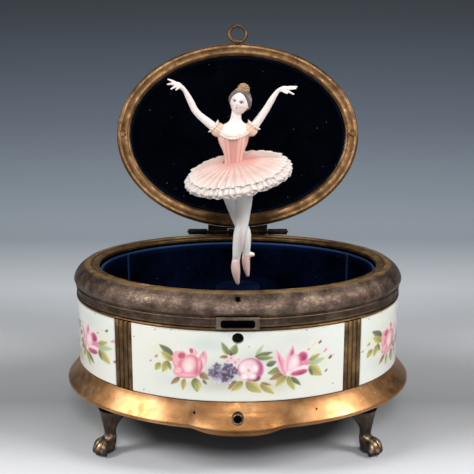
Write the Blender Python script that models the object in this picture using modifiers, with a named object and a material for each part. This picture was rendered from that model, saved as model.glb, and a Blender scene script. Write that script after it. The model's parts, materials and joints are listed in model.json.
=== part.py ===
"""An oval musical jewellery box with a hinged lid and a porcelain ballerina on a turning spindle.

The numbers below are millimetres. Every oval piece belongs to one family of curves round the
opening: its "radius" is measured along the long axis, and the same distance separates two curves
all the way round. The box stands on z = 0 with its long axis along X and its front towards -Y.
"""

import math

import bmesh
import bpy
from mathutils import Matrix, Vector

MM = 0.001
COLLECTION = "ballerina_jewellery_box"

# Driving dimensions of the case
OPENING_A = 76.2
OPENING_B = 59.1
CORE_RADIUS = 56.0
OPENING_Z = 90.0
OVAL_STEPS = 48
CASE_SHIFT_Y = -15.918
GAP = 0.3

# Levels of the case
BAND_BOTTOM_Z = 75.4
BEAD_BOTTOM_Z = 73.6
ENAMEL_TOP_Z = 73.3
ENAMEL_BOTTOM_Z = 37.6
SKIRT_TOP_Z = 37.2
SKIRT_EDGE_Z = 26.6
BASE_TOP_Z = 25.2
BASE_THICKNESS = 1.0
FLOOR_TOP_Z = 44.6
FLOOR_THICKNESS = 1.2

# Radii of the case
WALL_RADIUS = 86.4
WALL_THICKNESS = 2.0
ENAMEL_RADIUS = 87.8
ENAMEL_THICKNESS = 1.8
SKIRT_RADIUS = 95.4
LINING_RADIUS = 75.2
LINING_THICKNESS = 1.2

# Pilasters stand on the wall's facets at these turns round the oval, in degrees
PILASTER_TURNS = {"front_right": -48.75, "front_left": -131.25, "back_right": 48.75, "back_left": 131.25}
PILASTER_WIDTH = 10.0
LINING_CORNER = 30.0

# Lid and hinge
LID_RADIUS = 77.0
LID_OPEN_DEGREES = 110.0
HINGE_Y = 62.9
HINGE_Z = 93.3
KNUCKLE_RADIUS = 1.8
KNUCKLE_BORE = 1.0
HINGE_PIN_RADIUS = 0.7
RING_RADIUS = 5.6

# Movement: the barrel, the cylinder and the fan turn about axes along Y at one height
AXIS_Z = 30.8
TOOTH_MODULE = 0.5
PRESSURE_ANGLE = math.radians(20.0)
WHEEL_TEETH = 18
FAN_TEETH = 8
PINION_TEETH = 10
CROWN_TEETH = 22
WHEEL_PITCH = TOOTH_MODULE * WHEEL_TEETH / 2
CYLINDER_X = 2 * WHEEL_PITCH
FAN_X = CYLINDER_X + WHEEL_PITCH + TOOTH_MODULE * FAN_TEETH / 2
TRAIN_Y = -18.0
PINION_Y = -5.5
RATCHET_Y = -62.4
CLICK_X = -7.0
CATCH_Z = 69.9

# The figure stands on one toe on the spindle's peg
TOE_Z = 76.3
TURNTABLE_TOP_Z = 75.8

AXIS_TO_FRONT = (math.pi / 2, 0.0, 0.0)


def clear_scene():
    for obj in list(bpy.data.objects):
        bpy.data.objects.remove(obj)


def make_collection(name):
    collection = bpy.data.collections.new(name)
    bpy.context.scene.collection.children.link(collection)
    return collection


clear_scene()
PARTS = make_collection(COLLECTION)
CUTTERS = make_collection("cutters")


def make_material(name, colour, roughness, metallic=0.0):
    material = bpy.data.materials.new(name)
    material.use_nodes = True
    shader = material.node_tree.nodes["Principled BSDF"]
    shader.inputs["Base Color"].default_value = (*colour, 1.0)
    shader.inputs["Roughness"].default_value = roughness
    shader.inputs["Metallic"].default_value = metallic
    return material


BRONZE = make_material("dark_bronze", (0.16, 0.11, 0.08), 0.45, 1.0)
SATIN_BRASS = make_material("satin_brass", (0.62, 0.42, 0.18), 0.35, 1.0)
ANTIQUE_BRASS = make_material("antique_brass", (0.30, 0.18, 0.08), 0.4, 1.0)
ENAMEL = make_material("cream_enamel", (0.86, 0.84, 0.76), 0.12)
VELVET = make_material("navy_velvet", (0.01, 0.02, 0.06), 0.9)
STEEL = make_material("steel", (0.45, 0.45, 0.46), 0.3, 1.0)
PORCELAIN = make_material("porcelain", (0.90, 0.82, 0.78), 0.15)
HAIR = make_material("painted_hair", (0.22, 0.17, 0.15), 0.3)
TULLE = make_material("pink_tulle", (0.90, 0.60, 0.55), 0.6)


# Shape helpers


def add_object(name, data, material, where=None):
    obj = bpy.data.objects.new(name, data)
    data.materials.append(material)
    (where or PARTS).objects.link(obj)
    return obj


def place(obj, x=0.0, y=0.0, z=0.0, rotation=(0.0, 0.0, 0.0)):
    obj.location = (x * MM, y * MM, z * MM)
    obj.rotation_euler = rotation
    return obj


def as_cutter(obj):
    obj.hide_render = True
    obj.display_type = "WIRE"
    return obj


def boolean(obj, other, operation):
    modifier = obj.modifiers.new(other.name, "BOOLEAN")
    modifier.operation = operation
    modifier.solver = "EXACT"
    modifier.object = other
    return obj


def cut(obj, cutter):
    return boolean(obj, cutter, "DIFFERENCE")


def join(obj, other):
    return boolean(obj, as_cutter(other), "UNION")


def made_into_mesh(obj):
    """Replace the object's curve or modifiers by the mesh they give, with its seams welded."""
    bpy.context.view_layer.update()
    graph = bpy.context.evaluated_depsgraph_get()
    mesh = bpy.data.meshes.new_from_object(obj.evaluated_get(graph))
    mesh.name = obj.name
    shape = bmesh.new()
    shape.from_mesh(mesh)
    bmesh.ops.remove_doubles(shape, verts=shape.verts, dist=1e-6)
    shape.to_mesh(mesh)
    shape.free()
    name = obj.name
    where = obj.users_collection[0]
    matrix = obj.matrix_world.copy()
    bpy.data.objects.remove(obj)
    solid = bpy.data.objects.new(name, mesh)
    where.objects.link(solid)
    solid.matrix_world = matrix
    return solid


def turned(name, profile, material, steps=24, where=None, angle=math.tau, closed=False):
    """Turn a profile of (radius, z) points about Z; it runs down the outer side."""
    mesh = bpy.data.meshes.new(name)
    edges = [(i, i + 1) for i in range(len(profile) - 1)]
    if closed:
        edges.append((len(profile) - 1, 0))
    mesh.from_pydata([(radius * MM, 0.0, z * MM) for radius, z in profile], edges, [])
    obj = add_object(name, mesh, material, where)
    modifier = obj.modifiers.new("Screw", "SCREW")
    modifier.angle = angle
    modifier.steps = steps
    modifier.render_steps = steps
    modifier.use_merge_vertices = True
    modifier.merge_threshold = 1e-5
    modifier.use_smooth_shade = True
    return obj


def rod(name, radius, low, high, material, steps=16, where=None):
    return turned(name, [(0, high), (radius, high), (radius, low), (0, low)], material, steps, where)


def hole_cutter(name, radius, low, high, x, y, z, rotation=(0.0, 0.0, 0.0), steps=16):
    cutter = as_cutter(rod(name, radius, low, high, STEEL, steps, CUTTERS))
    return place(cutter, x, y, z, rotation)


def oval_point(radius, turn):
    """The point at this turn, in radians, on the oval with this radius along X."""
    ring = max(radius, CORE_RADIUS)
    normal = Vector((OPENING_B * math.cos(turn), OPENING_A * math.sin(turn))).normalized()
    edge = Vector((OPENING_A * math.cos(turn), OPENING_B * math.sin(turn)))
    return (edge + normal * (ring - OPENING_A)) * (radius / ring)


def bend_to_oval(mesh, start=0.0, trim=0.0, span=math.tau):
    """Move a turned mesh onto the oval family, from the start turn on, trimmed at both ends."""
    for vertex in mesh.vertices:
        radius = math.hypot(vertex.co.x, vertex.co.y) / MM
        turn = abs(math.atan2(vertex.co.y, vertex.co.x))
        if span == math.tau:
            turn = math.atan2(vertex.co.y, vertex.co.x)
        turn = start + trim + turn * (1.0 - 2.0 * trim / span)
        point = oval_point(radius, turn)
        vertex.co.x = point.x * MM
        vertex.co.y = point.y * MM
    mesh.update()


def oval_ring(name, profile, material, closed=True):
    obj = made_into_mesh(turned(name, profile, material, OVAL_STEPS, closed=closed))
    bend_to_oval(obj.data)
    return obj


def oval_sheet(name, profile, turns, thickness, material):
    """A bent panel between two turns in degrees; the profile runs along its middle."""
    start, end = (math.radians(turn) for turn in turns)
    span = end - start
    steps = round(OVAL_STEPS * span / math.tau)
    obj = made_into_mesh(turned(name, profile, material, steps, angle=span))
    bend_to_oval(obj.data, start, math.radians(0.3), span)
    modifier = obj.modifiers.new("Solidify", "SOLIDIFY")
    modifier.thickness = thickness * MM
    modifier.offset = 0.0
    return obj


def plate(name, outline, thickness, material, holes=(), where=None):
    """A flat plate of this outline in the XY plane, with its middle at z = 0."""
    curve = bpy.data.curves.new(name, "CURVE")
    curve.dimensions = "2D"
    curve.fill_mode = "BOTH"
    curve.extrude = thickness * MM / 2
    for loop in [outline, *holes]:
        spline = curve.splines.new("POLY")
        spline.points.add(len(loop) - 1)
        for point, (x, y) in zip(spline.points, loop):
            point.co = (x * MM, y * MM, 0.0, 1.0)
        spline.use_cyclic_u = True
    return made_into_mesh(add_object(name, curve, material, where))


def circle(radius, count=16, x=0.0, y=0.0):
    turns = [math.tau * i / count for i in range(count)]
    return [(x + radius * math.cos(turn), y + radius * math.sin(turn)) for turn in turns]


def rectangle(left, right, bottom, top):
    return [(left, bottom), (right, bottom), (right, top), (left, top)]


def oval_outline(radius, count=OVAL_STEPS):
    return [tuple(oval_point(radius, math.tau * i / count)) for i in range(count)]


def block(name, low, high, material, where=None):
    """A box between two corners, with its origin at its middle."""
    mesh = bpy.data.meshes.new(name)
    shape = bmesh.new()
    size = [(b - a) * MM for a, b in zip(low, high)]
    bmesh.ops.create_cube(shape, size=1.0, matrix=Matrix.Diagonal((*size, 1.0)))
    shape.to_mesh(mesh)
    shape.free()
    middle = [(a + b) / 2 for a, b in zip(low, high)]
    return place(add_object(name, mesh, material, where), *middle)


def ellipsoid(name, radii, centre, material, where=None, count=16, tilt=0.0):
    mesh = bpy.data.meshes.new(name)
    shape = bmesh.new()
    size = Matrix.Diagonal((*[radius * MM for radius in radii], 1.0))
    bmesh.ops.create_uvsphere(shape, u_segments=count, v_segments=count * 5 // 8, radius=1.0, matrix=size)
    shape.to_mesh(mesh)
    shape.free()
    mesh.shade_smooth()
    return place(add_object(name, mesh, material, where), *centre, rotation=(0.0, tilt, 0.0))


def smooth_path(keys, steps):
    """Points (x, y, z, radius) on a smooth curve through the keys."""
    path = []
    ends = [keys[0], *keys, keys[-1]]
    for i in range(len(keys) - 1):
        before, a, b, after = (Vector(key) for key in ends[i : i + 4])
        for step in range(steps):
            t = step / steps
            slope_a = (b - before) / 2
            slope_b = (after - a) / 2
            point = a * (2 * t**3 - 3 * t**2 + 1) + slope_a * (t**3 - 2 * t**2 + t)
            path.append(point + b * (3 * t**2 - 2 * t**3) + slope_b * (t**3 - t**2))
    path.append(Vector(keys[-1]))
    return path


def tube(name, path, material, where=None, resolution=2):
    """A round rod along a path of (x, y, z, radius) points."""
    curve = bpy.data.curves.new(name, "CURVE")
    curve.dimensions = "3D"
    curve.bevel_depth = MM
    curve.bevel_resolution = resolution
    curve.use_fill_caps = True
    spline = curve.splines.new("POLY")
    spline.points.add(len(path) - 1)
    for point, (x, y, z, radius) in zip(spline.points, path):
        point.co = (x * MM, y * MM, z * MM, 1.0)
        point.radius = radius
    obj = made_into_mesh(add_object(name, curve, material, where))
    obj.data.shade_smooth()
    return obj


def gear_outline(teeth, backlash=0.14, phase=0.0):
    """An involute gear's outline, with three points on each flank."""
    pitch = TOOTH_MODULE * teeth / 2
    base = pitch * math.cos(PRESSURE_ANGLE)
    root = pitch - 1.25 * TOOTH_MODULE
    tip = pitch + 0.85 * TOOTH_MODULE

    def half_width(radius):
        angle = math.acos(min(1.0, base / radius))
        involute = math.tan(angle) - angle
        at_pitch = math.tan(PRESSURE_ANGLE) - PRESSURE_ANGLE
        return math.pi / (2 * teeth) - backlash / (2 * pitch) + at_pitch - involute

    outline = []
    for tooth in range(teeth):
        middle = phase + math.tau * tooth / teeth
        for side, radii in ((-1, (root, pitch, tip)), (1, (tip, pitch, root))):
            for radius in radii:
                turn = middle + side * half_width(radius)
                outline.append((radius * math.cos(turn), radius * math.sin(turn)))
    return outline


# The case


def make_collar_rim():
    profile = [
        (81.2, OPENING_Z + 1.2),
        (84.6, OPENING_Z + 0.5),
        (88.4, OPENING_Z - 2.9),
        (90.0, OPENING_Z - 6.6),
        (88.0, OPENING_Z - 9.6),
        (88.9, OPENING_Z - 10.4),
        (88.9, BAND_BOTTOM_Z),
        (85.0, BAND_BOTTOM_Z),
        (80.6, OPENING_Z - 2.2),
        (80.6, OPENING_Z + 0.6),
    ]
    rim = oval_ring("collar_rim", profile, BRONZE)
    cutter = hole_cutter("collar_pin_hole", 1.0, 66.0, 76.0, 0.0, 0.0, OPENING_Z - 1.2, AXIS_TO_FRONT)
    return cut(rim, cutter)


def make_inner_bezel():
    profile = [
        (80.3, OPENING_Z + 0.6),
        (80.3, OPENING_Z - 2.0),
        (77.2, OPENING_Z - 2.0),
        (76.2, OPENING_Z - 1.3),
        (76.2, OPENING_Z - 0.1),
        (76.9, OPENING_Z + 0.2),
        (77.6, OPENING_Z - 0.1),
    ]
    return oval_ring("inner_bezel", profile, SATIN_BRASS)


def make_upper_bead():
    top = BAND_BOTTOM_Z - GAP
    profile = [
        (88.0, top),
        (89.0, (top + BEAD_BOTTOM_Z) / 2),
        (88.0, BEAD_BOTTOM_Z),
        (86.8, BEAD_BOTTOM_Z),
        (86.8, top),
    ]
    return oval_ring("upper_bead", profile, SATIN_BRASS)


def make_case_wall():
    inside = WALL_RADIUS - WALL_THICKNESS
    low = BASE_TOP_Z + GAP
    high = BAND_BOTTOM_Z - GAP
    profile = [(WALL_RADIUS, high), (WALL_RADIUS, low), (inside, low), (inside, high)]
    wall = oval_ring("case_wall", profile, ANTIQUE_BRASS)
    cut(wall, hole_cutter("wall_catch_hole", 2.7, 55.0, 80.0, 0.0, 0.0, CATCH_Z, AXIS_TO_FRONT))
    return cut(wall, hole_cutter("wall_winding_hole", 2.0, 55.0, 80.0, 0.0, 0.0, AXIS_Z, AXIS_TO_FRONT))


def make_enamel_panels():
    half = 3.75
    corners = PILASTER_TURNS
    spans = {
        "front": (corners["front_left"] + half, corners["front_right"] - half),
        "back": (corners["back_right"] + half, corners["back_left"] - half),
        "right": (corners["front_right"] + half, corners["back_right"] - half),
        "left": (corners["back_left"] + half, corners["front_left"] - half + 360.0),
    }
    line = [(ENAMEL_RADIUS, ENAMEL_TOP_Z), (ENAMEL_RADIUS, ENAMEL_BOTTOM_Z)]
    for side, turns in spans.items():
        panel = oval_sheet(f"enamel_{side}", line, turns, ENAMEL_THICKNESS, ENAMEL)
        if side == "front":
            cut(panel, hole_cutter("enamel_catch_hole", 2.75, 55.0, 80.0, 0.0, 0.0, CATCH_Z, AXIS_TO_FRONT))


def make_pilasters():
    """Reeded pilasters: four half-round reeds on a flat back."""
    reeds = 4
    reed_points = 4
    reed_width = PILASTER_WIDTH / reeds
    outline = [(-PILASTER_WIDTH / 2, 0.0)]
    for reed in range(reeds):
        middle = -PILASTER_WIDTH / 2 + reed_width * (reed + 0.5)
        for i in range(reed_points + 1):
            turn = math.pi * (1.0 - i / reed_points)
            point = (middle + reed_width / 2 * math.cos(turn), 1.2 + reed_width / 2 * math.sin(turn))
            if point[0] > outline[-1][0] + 0.01 or not reed:
                outline.append(point)
    outline.append((PILASTER_WIDTH / 2, 0.0))
    height = ENAMEL_TOP_Z - ENAMEL_BOTTOM_Z
    step = math.radians(3.75)
    for corner, degrees in PILASTER_TURNS.items():
        turn = math.radians(degrees)
        ends = [oval_point(WALL_RADIUS + GAP, turn + side * step) for side in (-1, 1)]
        along = ends[1] - ends[0]
        facing = math.atan2(along.y, along.x)
        middle = (ends[0] + ends[1]) / 2
        pilaster = plate(f"pilaster_{corner}", outline[::-1], height, ANTIQUE_BRASS)
        z = (ENAMEL_TOP_Z + ENAMEL_BOTTOM_Z) / 2
        place(pilaster, middle.x, middle.y, z, (0.0, 0.0, facing + math.pi))


def apron_drop(x):
    """How far the skirt's lower edge hangs down, at this distance from the middle."""
    return 3.4 * max(0.0, 1.0 - (abs(x) / 22.0) ** 3)


def make_base_skirt():
    profile = [
        (88.2, SKIRT_TOP_Z),
        (90.6, SKIRT_TOP_Z - 3.4),
        (SKIRT_RADIUS, SKIRT_EDGE_Z + 1.2),
        (SKIRT_RADIUS, SKIRT_EDGE_Z - 0.4),
        (SKIRT_RADIUS - 1.6, SKIRT_EDGE_Z - 0.4),
        (SKIRT_RADIUS - 1.8, SKIRT_EDGE_Z + 0.8),
        (88.8, SKIRT_TOP_Z - 4.2),
        (86.8, SKIRT_TOP_Z - 1.6),
        (86.8, SKIRT_TOP_Z),
    ]
    skirt = oval_ring("base_skirt", profile, SATIN_BRASS)
    edge = (SKIRT_EDGE_Z + 1.5) * MM
    for vertex in skirt.data.vertices:
        if vertex.co.z < edge:
            vertex.co.z -= apron_drop(vertex.co.x / MM) * MM
    return cut(skirt, hole_cutter("skirt_winding_hole", 3.1, 55.0, 90.0, 0.0, 0.0, AXIS_Z, AXIS_TO_FRONT))


def make_winding_escutcheon():
    """A brass ring that lines the winding hole; it leans with the skirt."""
    profile = [(2.8, 0.8), (2.8, -1.4), (2.1, -1.4), (2.1, 0.8), (2.45, 1.1)]
    ring = turned("winding_escutcheon", profile, SATIN_BRASS, 24, closed=True)
    return place(ring, 0.0, -75.6, AXIS_Z, AXIS_TO_FRONT)


def make_base_plate():
    base = plate("base_plate", oval_outline(91.6), BASE_THICKNESS, BRONZE)
    return place(base, z=BASE_TOP_Z - BASE_THICKNESS / 2)


def make_feet():
    """Cabriole feet: a knee under the plate, a thin ankle and a scrolled toe that turns out."""
    under = BASE_TOP_Z - BASE_THICKNESS - GAP
    keys = [
        (0.0, 0.0, under, 6.6),
        (1.6, 0.0, under - 4.2, 5.6),
        (2.4, 0.0, under - 8.4, 3.6),
        (2.8, 0.0, under - 13.2, 2.5),
        (4.6, 0.0, 4.6, 3.0),
        (7.6, 0.0, 2.6, 3.2),
        (10.4, 0.0, 3.6, 2.3),
        (10.6, 0.0, 5.6, 1.2),
    ]
    corners = (("front_left", -1, -1), ("front_right", 1, -1), ("back_left", -1, 1), ("back_right", 1, 1))
    for name, side_x, side_y in corners:
        foot = tube(f"foot_{name}", smooth_path(keys, 2), BRONZE)
        facing = math.atan2(side_y * 42.0, side_x * 62.0)
        place(foot, side_x * 62.8, side_y * 46.0, 0.0, (0.0, 0.0, facing))
        top = as_cutter(block(f"foot_top_{name}", (-20, -20, under), (20, 20, under + 20), STEEL, CUTTERS))
        top.location.x += foot.location.x
        top.location.y += foot.location.y
        cut(foot, top)
        ground = as_cutter(block(f"foot_ground_{name}", (-20, -20, -20), (20, 20, 0), STEEL, CUTTERS))
        ground.location.x += foot.location.x
        ground.location.y += foot.location.y
        cut(foot, ground)


def make_catch():
    """A slotted staple on the band, and a sprung push button behind the enamel."""
    front = -(OPENING_B + 88.9 - OPENING_A)
    frame = rectangle(-10.4, 10.4, -3.1, 3.1)
    slot = rectangle(-8.1, 8.1, -2.2, 1.6)
    bracket = plate("catch_bracket", frame, 1.2, STEEL, [slot])
    place(bracket, 0.0, front - 0.9, OPENING_Z - 12.2, AXIS_TO_FRONT)
    profile = [(0.0, 70.3), (1.9, 70.3), (2.3, 69.9), (2.3, 68.7), (1.2, 68.7), (1.2, 61.6), (0.0, 61.6)]
    button = turned("catch_button", profile, BRONZE, 16)
    place(button, 0.0, 0.0, CATCH_Z, AXIS_TO_FRONT)
    guide = block("catch_guide", (-5.0, -64.6, CATCH_Z - 4.0), (5.0, -62.0, CATCH_Z + 4.0), ANTIQUE_BRASS)
    cut(guide, hole_cutter("catch_guide_bore", 1.6, 55.0, 75.0, 0.0, 0.0, CATCH_Z, AXIS_TO_FRONT))
    turns = 4
    points = 10
    coil = []
    for i in range(turns * points + 1):
        turn = math.tau * i / points
        coil.append((1.85 * math.cos(turn), -64.95 - 3.1 * i / (turns * points), 1.85 * math.sin(turn), 0.25))
    spring = tube("catch_spring", coil, STEEL, resolution=0)
    place(spring, 0.0, 0.0, CATCH_Z)


# The inside


def make_linings():
    corner = LINING_CORNER
    spans = {
        "right": (-corner, corner),
        "back": (corner, 180.0 - corner),
        "left": (180.0 - corner, 180.0 + corner),
        "front": (180.0 + corner, 360.0 - corner),
    }
    line = [(LINING_RADIUS, OPENING_Z - 2.6), (LINING_RADIUS, FLOOR_TOP_Z + GAP)]
    for side, turns in spans.items():
        oval_sheet(f"lining_{side}", line, turns, LINING_THICKNESS, VELVET)


def make_floor():
    outline = oval_outline(LINING_RADIUS - 0.6)
    floor = plate("false_floor", outline, FLOOR_THICKNESS, VELVET, [circle(2.4)])
    place(floor, z=FLOOR_TOP_Z - FLOOR_THICKNESS / 2)
    low = FLOOR_TOP_Z + GAP
    high = TURNTABLE_TOP_Z - 2.0 - GAP
    profile = [(6.0, high), (5.4, high - 3), (5.4, low + 4), (9.0, low), (1.6, low), (1.6, high)]
    turned("pedestal", profile, VELVET, 24, closed=True)


# The movement


def make_plates():
    low = BASE_TOP_Z + GAP
    openings = [
        rectangle(-5.6, 14.6, -57.0, -15.5),
        rectangle(-3.6, 3.6, -8.4, -3.2),
    ]
    outline = [(-14, -61), (30, -61), (30, -12), (21, -12), (21, 8), (-14, 8)]
    bedplate = plate("bedplate", outline, 1.2, SATIN_BRASS, openings)
    place(bedplate, z=low + 0.6)
    base = low + 1.2 + GAP
    for name, y, left, right, axes in (
        ("bearing_front", -59.5, -9.0, 14.0, (0.0, CYLINDER_X)),
        ("bearing_rear", -13.2, -9.0, 20.4, (0.0, CYLINDER_X, FAN_X)),
    ):
        middle = (base + AXIS_Z + 5.0) / 2
        outline = rectangle(left, right, base - middle, AXIS_Z + 5.0 - middle)
        bores = [circle(1.3, 12, x, AXIS_Z - middle) for x in axes]
        bearing = plate(name, outline, 1.2, SATIN_BRASS, bores)
        place(bearing, 0.0, y, middle, AXIS_TO_FRONT)


def make_barrel():
    """The spring barrel with its great wheel and, on its tail, the pinion under the crown wheel."""
    drum = [
        (4.3, 54.0),
        (4.3, 20.0),
        (2.0, 20.0),
        (2.0, 16.2),
        (0.9, 16.2),
        (0.9, 3.8),
        (0.0, 3.8),
    ]
    inside = [(0.0, 18.0), (1.5, 18.0), (1.5, 21.0), (3.8, 21.0), (3.8, 54.0)]
    barrel = turned("spring_barrel", [*inside, *drum], SATIN_BRASS, 20)
    place(barrel, 0.0, 0.0, AXIS_Z, AXIS_TO_FRONT)
    teeth = gear_outline(WHEEL_TEETH)
    wheel = plate("great_wheel_teeth", teeth, 1.6, SATIN_BRASS, [circle(1.7, 20)], CUTTERS)
    place(wheel, 0.0, TRAIN_Y, AXIS_Z, AXIS_TO_FRONT)
    teeth = gear_outline(PINION_TEETH, 0.2, math.pi / PINION_TEETH)
    pinion = plate("tail_pinion_teeth", teeth, 2.2, STEEL, (), CUTTERS)
    place(pinion, 0.0, PINION_Y, AXIS_Z, AXIS_TO_FRONT)
    join(barrel, wheel)
    return join(barrel, pinion)


def make_mainspring():
    """A flat spiral ribbon coiled inside the barrel."""
    turns = 3
    points = 12
    half = 0.09
    sides = {-1: [], 1: []}
    for i in range(turns * points + 1):
        turn = math.tau * i / points
        for side in sides:
            radius = 1.3 + 2.0 * i / (turns * points) + side * half
            sides[side].append((radius * math.cos(turn), radius * math.sin(turn)))
    ribbon = plate("mainspring", sides[1] + sides[-1][::-1], 18.0, STEEL)
    return place(ribbon, 0.0, -35.0, AXIS_Z, AXIS_TO_FRONT)


def make_winding_arbor():
    """The arbor ends in a square for a key, behind the winding hole."""
    profile = [(0.0, 68.0), (0.8, 68.0), (0.8, 22.0), (0.0, 22.0)]
    arbor = turned("winding_arbor", profile, STEEL, 16)
    place(arbor, 0.0, 0.0, AXIS_Z, AXIS_TO_FRONT)
    square = block("arbor_square", (-1.1, -74.0, AXIS_Z - 1.1), (1.1, -67.0, AXIS_Z + 1.1), STEEL, CUTTERS)
    join(arbor, square)
    teeth = 12
    outline = []
    for tooth in range(teeth):
        turn = math.tau * tooth / teeth
        outline.append((3.6 * math.cos(turn), 3.6 * math.sin(turn)))
        turn += math.tau / teeth * 0.12
        outline.append((2.7 * math.cos(turn), 2.7 * math.sin(turn)))
    wheel = plate("ratchet_wheel", outline, 1.4, STEEL, [circle(1.1, 12)])
    place(wheel, 0.0, RATCHET_Y, AXIS_Z, AXIS_TO_FRONT)
    outline = [(-1.2, -1.4), (1.2, -1.4), (1.5, 2.6), (3.1, 3.7)]
    outline += [(3.0, 4.4), (0.6, 4.8), (-0.9, 4.2), (-1.5, 0.0)]
    click = plate("click", outline, 1.2, STEEL, [circle(0.5, 8)])
    place(click, CLICK_X, RATCHET_Y, AXIS_Z - 3.0, AXIS_TO_FRONT)


def make_cylinder():
    """The music cylinder: a brass drum with rows of pins, on a thin arbor."""
    profile = [(0.0, 61.2), (0.9, 61.2), (0.9, 53.0), (3.9, 53.0)]
    profile += [(3.9, 21.0), (0.9, 21.0), (0.9, 11.6), (0.0, 11.6)]
    cylinder = turned("music_cylinder", profile, SATIN_BRASS, 20)
    place(cylinder, CYLINDER_X, 0.0, AXIS_Z, AXIS_TO_FRONT)
    pins = bpy.data.meshes.new("cylinder_pins")
    shape = bmesh.new()
    for row in range(9):
        turn = Matrix.Rotation(math.radians(97.0 * row + 30.0), 4, "Z")
        shift = Matrix.Translation((4.0 * MM, 0.0, (24.0 + 3.2 * row) * MM))
        size = Matrix.Diagonal((0.6 * MM, 0.24 * MM, 0.24 * MM, 1.0))
        bmesh.ops.create_cube(shape, size=1.0, matrix=turn @ shift @ size)
    shape.to_mesh(pins)
    shape.free()
    pins = place(add_object("cylinder_pins", pins, STEEL, CUTTERS), CYLINDER_X, 0.0, AXIS_Z, AXIS_TO_FRONT)
    join(cylinder, pins)
    outline = gear_outline(WHEEL_TEETH, phase=math.pi / WHEEL_TEETH)
    wheel = plate("cylinder_wheel", outline, 1.6, SATIN_BRASS, [circle(1.2, 12)])
    place(wheel, CYLINDER_X, TRAIN_Y, AXIS_Z, AXIS_TO_FRONT)


def make_comb():
    """The steel comb reaches from its block to just short of the pins."""
    teeth = 9
    pitch = 3.2
    first = -24.0 - pitch * (teeth - 0.5)
    tip = CYLINDER_X + 4.7
    outline = [(26.0, first), (26.0, first + pitch * teeth)]
    for tooth in reversed(range(teeth)):
        y = first + pitch * tooth
        outline += [(20.0, y + pitch - 0.2), (tip, y + pitch - 0.9), (tip, y + 0.9), (20.0, y + 0.2)]
    comb = plate("comb", outline, 0.6, STEEL)
    place(comb, z=AXIS_Z + 0.3)
    low = BASE_TOP_Z + GAP + 1.2 + GAP
    block("comb_block", (20.6, first, low), (27.0, first + pitch * teeth, AXIS_Z - GAP), SATIN_BRASS)


def make_governor():
    """An air fan that the cylinder's wheel drives and that slows the train."""
    profile = [(0.0, 19.4), (0.8, 19.4), (0.8, 3.0), (0.0, 3.0)]
    fan = turned("governor_fan", profile, STEEL, 12)
    place(fan, FAN_X, 0.0, AXIS_Z, AXIS_TO_FRONT)
    teeth = gear_outline(FAN_TEETH, 0.2)
    pinion = plate("fan_pinion_teeth", teeth, 1.6, STEEL, (), CUTTERS)
    place(pinion, FAN_X, TRAIN_Y, AXIS_Z, AXIS_TO_FRONT)
    join(fan, pinion)
    low = (FAN_X - 3.6, -10.4, AXIS_Z - 0.3)
    high = (FAN_X + 3.6, -4.0, AXIS_Z + 0.3)
    vane = block("fan_vane", low, high, STEEL, CUTTERS)
    return join(fan, vane)


def make_spindle():
    """The upright spindle, its crown wheel and the turntable under the dancer."""
    tip = TURNTABLE_TOP_Z + 3.0
    seat = BASE_TOP_Z + GAP + 1.2 + GAP
    shoulder = TURNTABLE_TOP_Z - 3.2
    profile = [(0.0, tip), (0.5, tip), (0.5, shoulder), (1.2, shoulder)]
    profile += [(1.2, 37.0), (0.8, 37.0), (0.8, seat), (0.0, seat)]
    spindle = turned("spindle", profile, STEEL, 12)
    rim_low = AXIS_Z + TOOTH_MODULE * PINION_TEETH / 2 - 0.25
    disc = 35.2
    profile = [(6.3, disc + 1.0), (6.3, rim_low), (4.7, rim_low), (4.7, disc), (1.1, disc), (1.1, disc + 1.0)]
    crown = turned("crown_wheel", profile, SATIN_BRASS, 22, closed=True)
    slots = bpy.data.meshes.new("crown_slots")
    shape = bmesh.new()
    for slot in range(CROWN_TEETH):
        turn = Matrix.Rotation(-math.pi / 2 + math.tau * slot / CROWN_TEETH, 4, "Z")
        shift = Matrix.Translation((5.6 * MM, 0.0, (rim_low - 0.3) * MM))
        size = Matrix.Diagonal((3.0 * MM, 1.02 * MM, 3.2 * MM, 1.0))
        bmesh.ops.create_cube(shape, size=1.0, matrix=turn @ shift @ size)
    shape.to_mesh(slots)
    shape.free()
    cut(crown, as_cutter(add_object("crown_slots", slots, STEEL, CUTTERS)))
    top = TURNTABLE_TOP_Z
    profile = [(12.0, top), (12.4, top - 0.6), (12.0, top - 2.0), (0.8, top - 2.0), (0.8, top)]
    turned("turntable", profile, VELVET, 32, closed=True)


# The lid, modelled shut and then turned open with the hinge axis


def make_lid_shell():
    low = OPENING_Z + 3.7
    profile = [
        (0.0, OPENING_Z + 16.5),
        (40.0, OPENING_Z + 14.4),
        (69.0, OPENING_Z + 8.2),
        (76.4, OPENING_Z + 5.2),
        (LID_RADIUS, low),
        (74.4, low),
        (68.0, OPENING_Z + 6.4),
        (40.0, OPENING_Z + 12.2),
        (0.0, OPENING_Z + 14.2),
    ]
    return oval_ring("lid_shell", profile, ENAMEL, closed=False)


def make_lid_frame():
    low = OPENING_Z + 0.6
    high = OPENING_Z + 3.4
    profile = [(LID_RADIUS, high), (LID_RADIUS, low + 0.8), (76.2, low)]
    profile += [(70.6, low), (68.9, low + 0.9), (68.9, high)]
    frame = oval_ring("lid_frame", profile, ANTIQUE_BRASS)
    for side, x in (("left", -73.2), ("right", 73.2)):
        cut(frame, hole_cutter(f"frame_screw_seat_{side}", 2.1, low - 1.0, low + 1.0, x, 0.0, 0.0))
        head = [(0.0, low + 0.7), (1.8, low + 0.7), (1.8, low + 0.2), (1.5, low), (0.0, low)]
        screw = turned(f"frame_screw_{side}", head, ANTIQUE_BRASS, 16)
        place(screw, x)
    return frame


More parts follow.
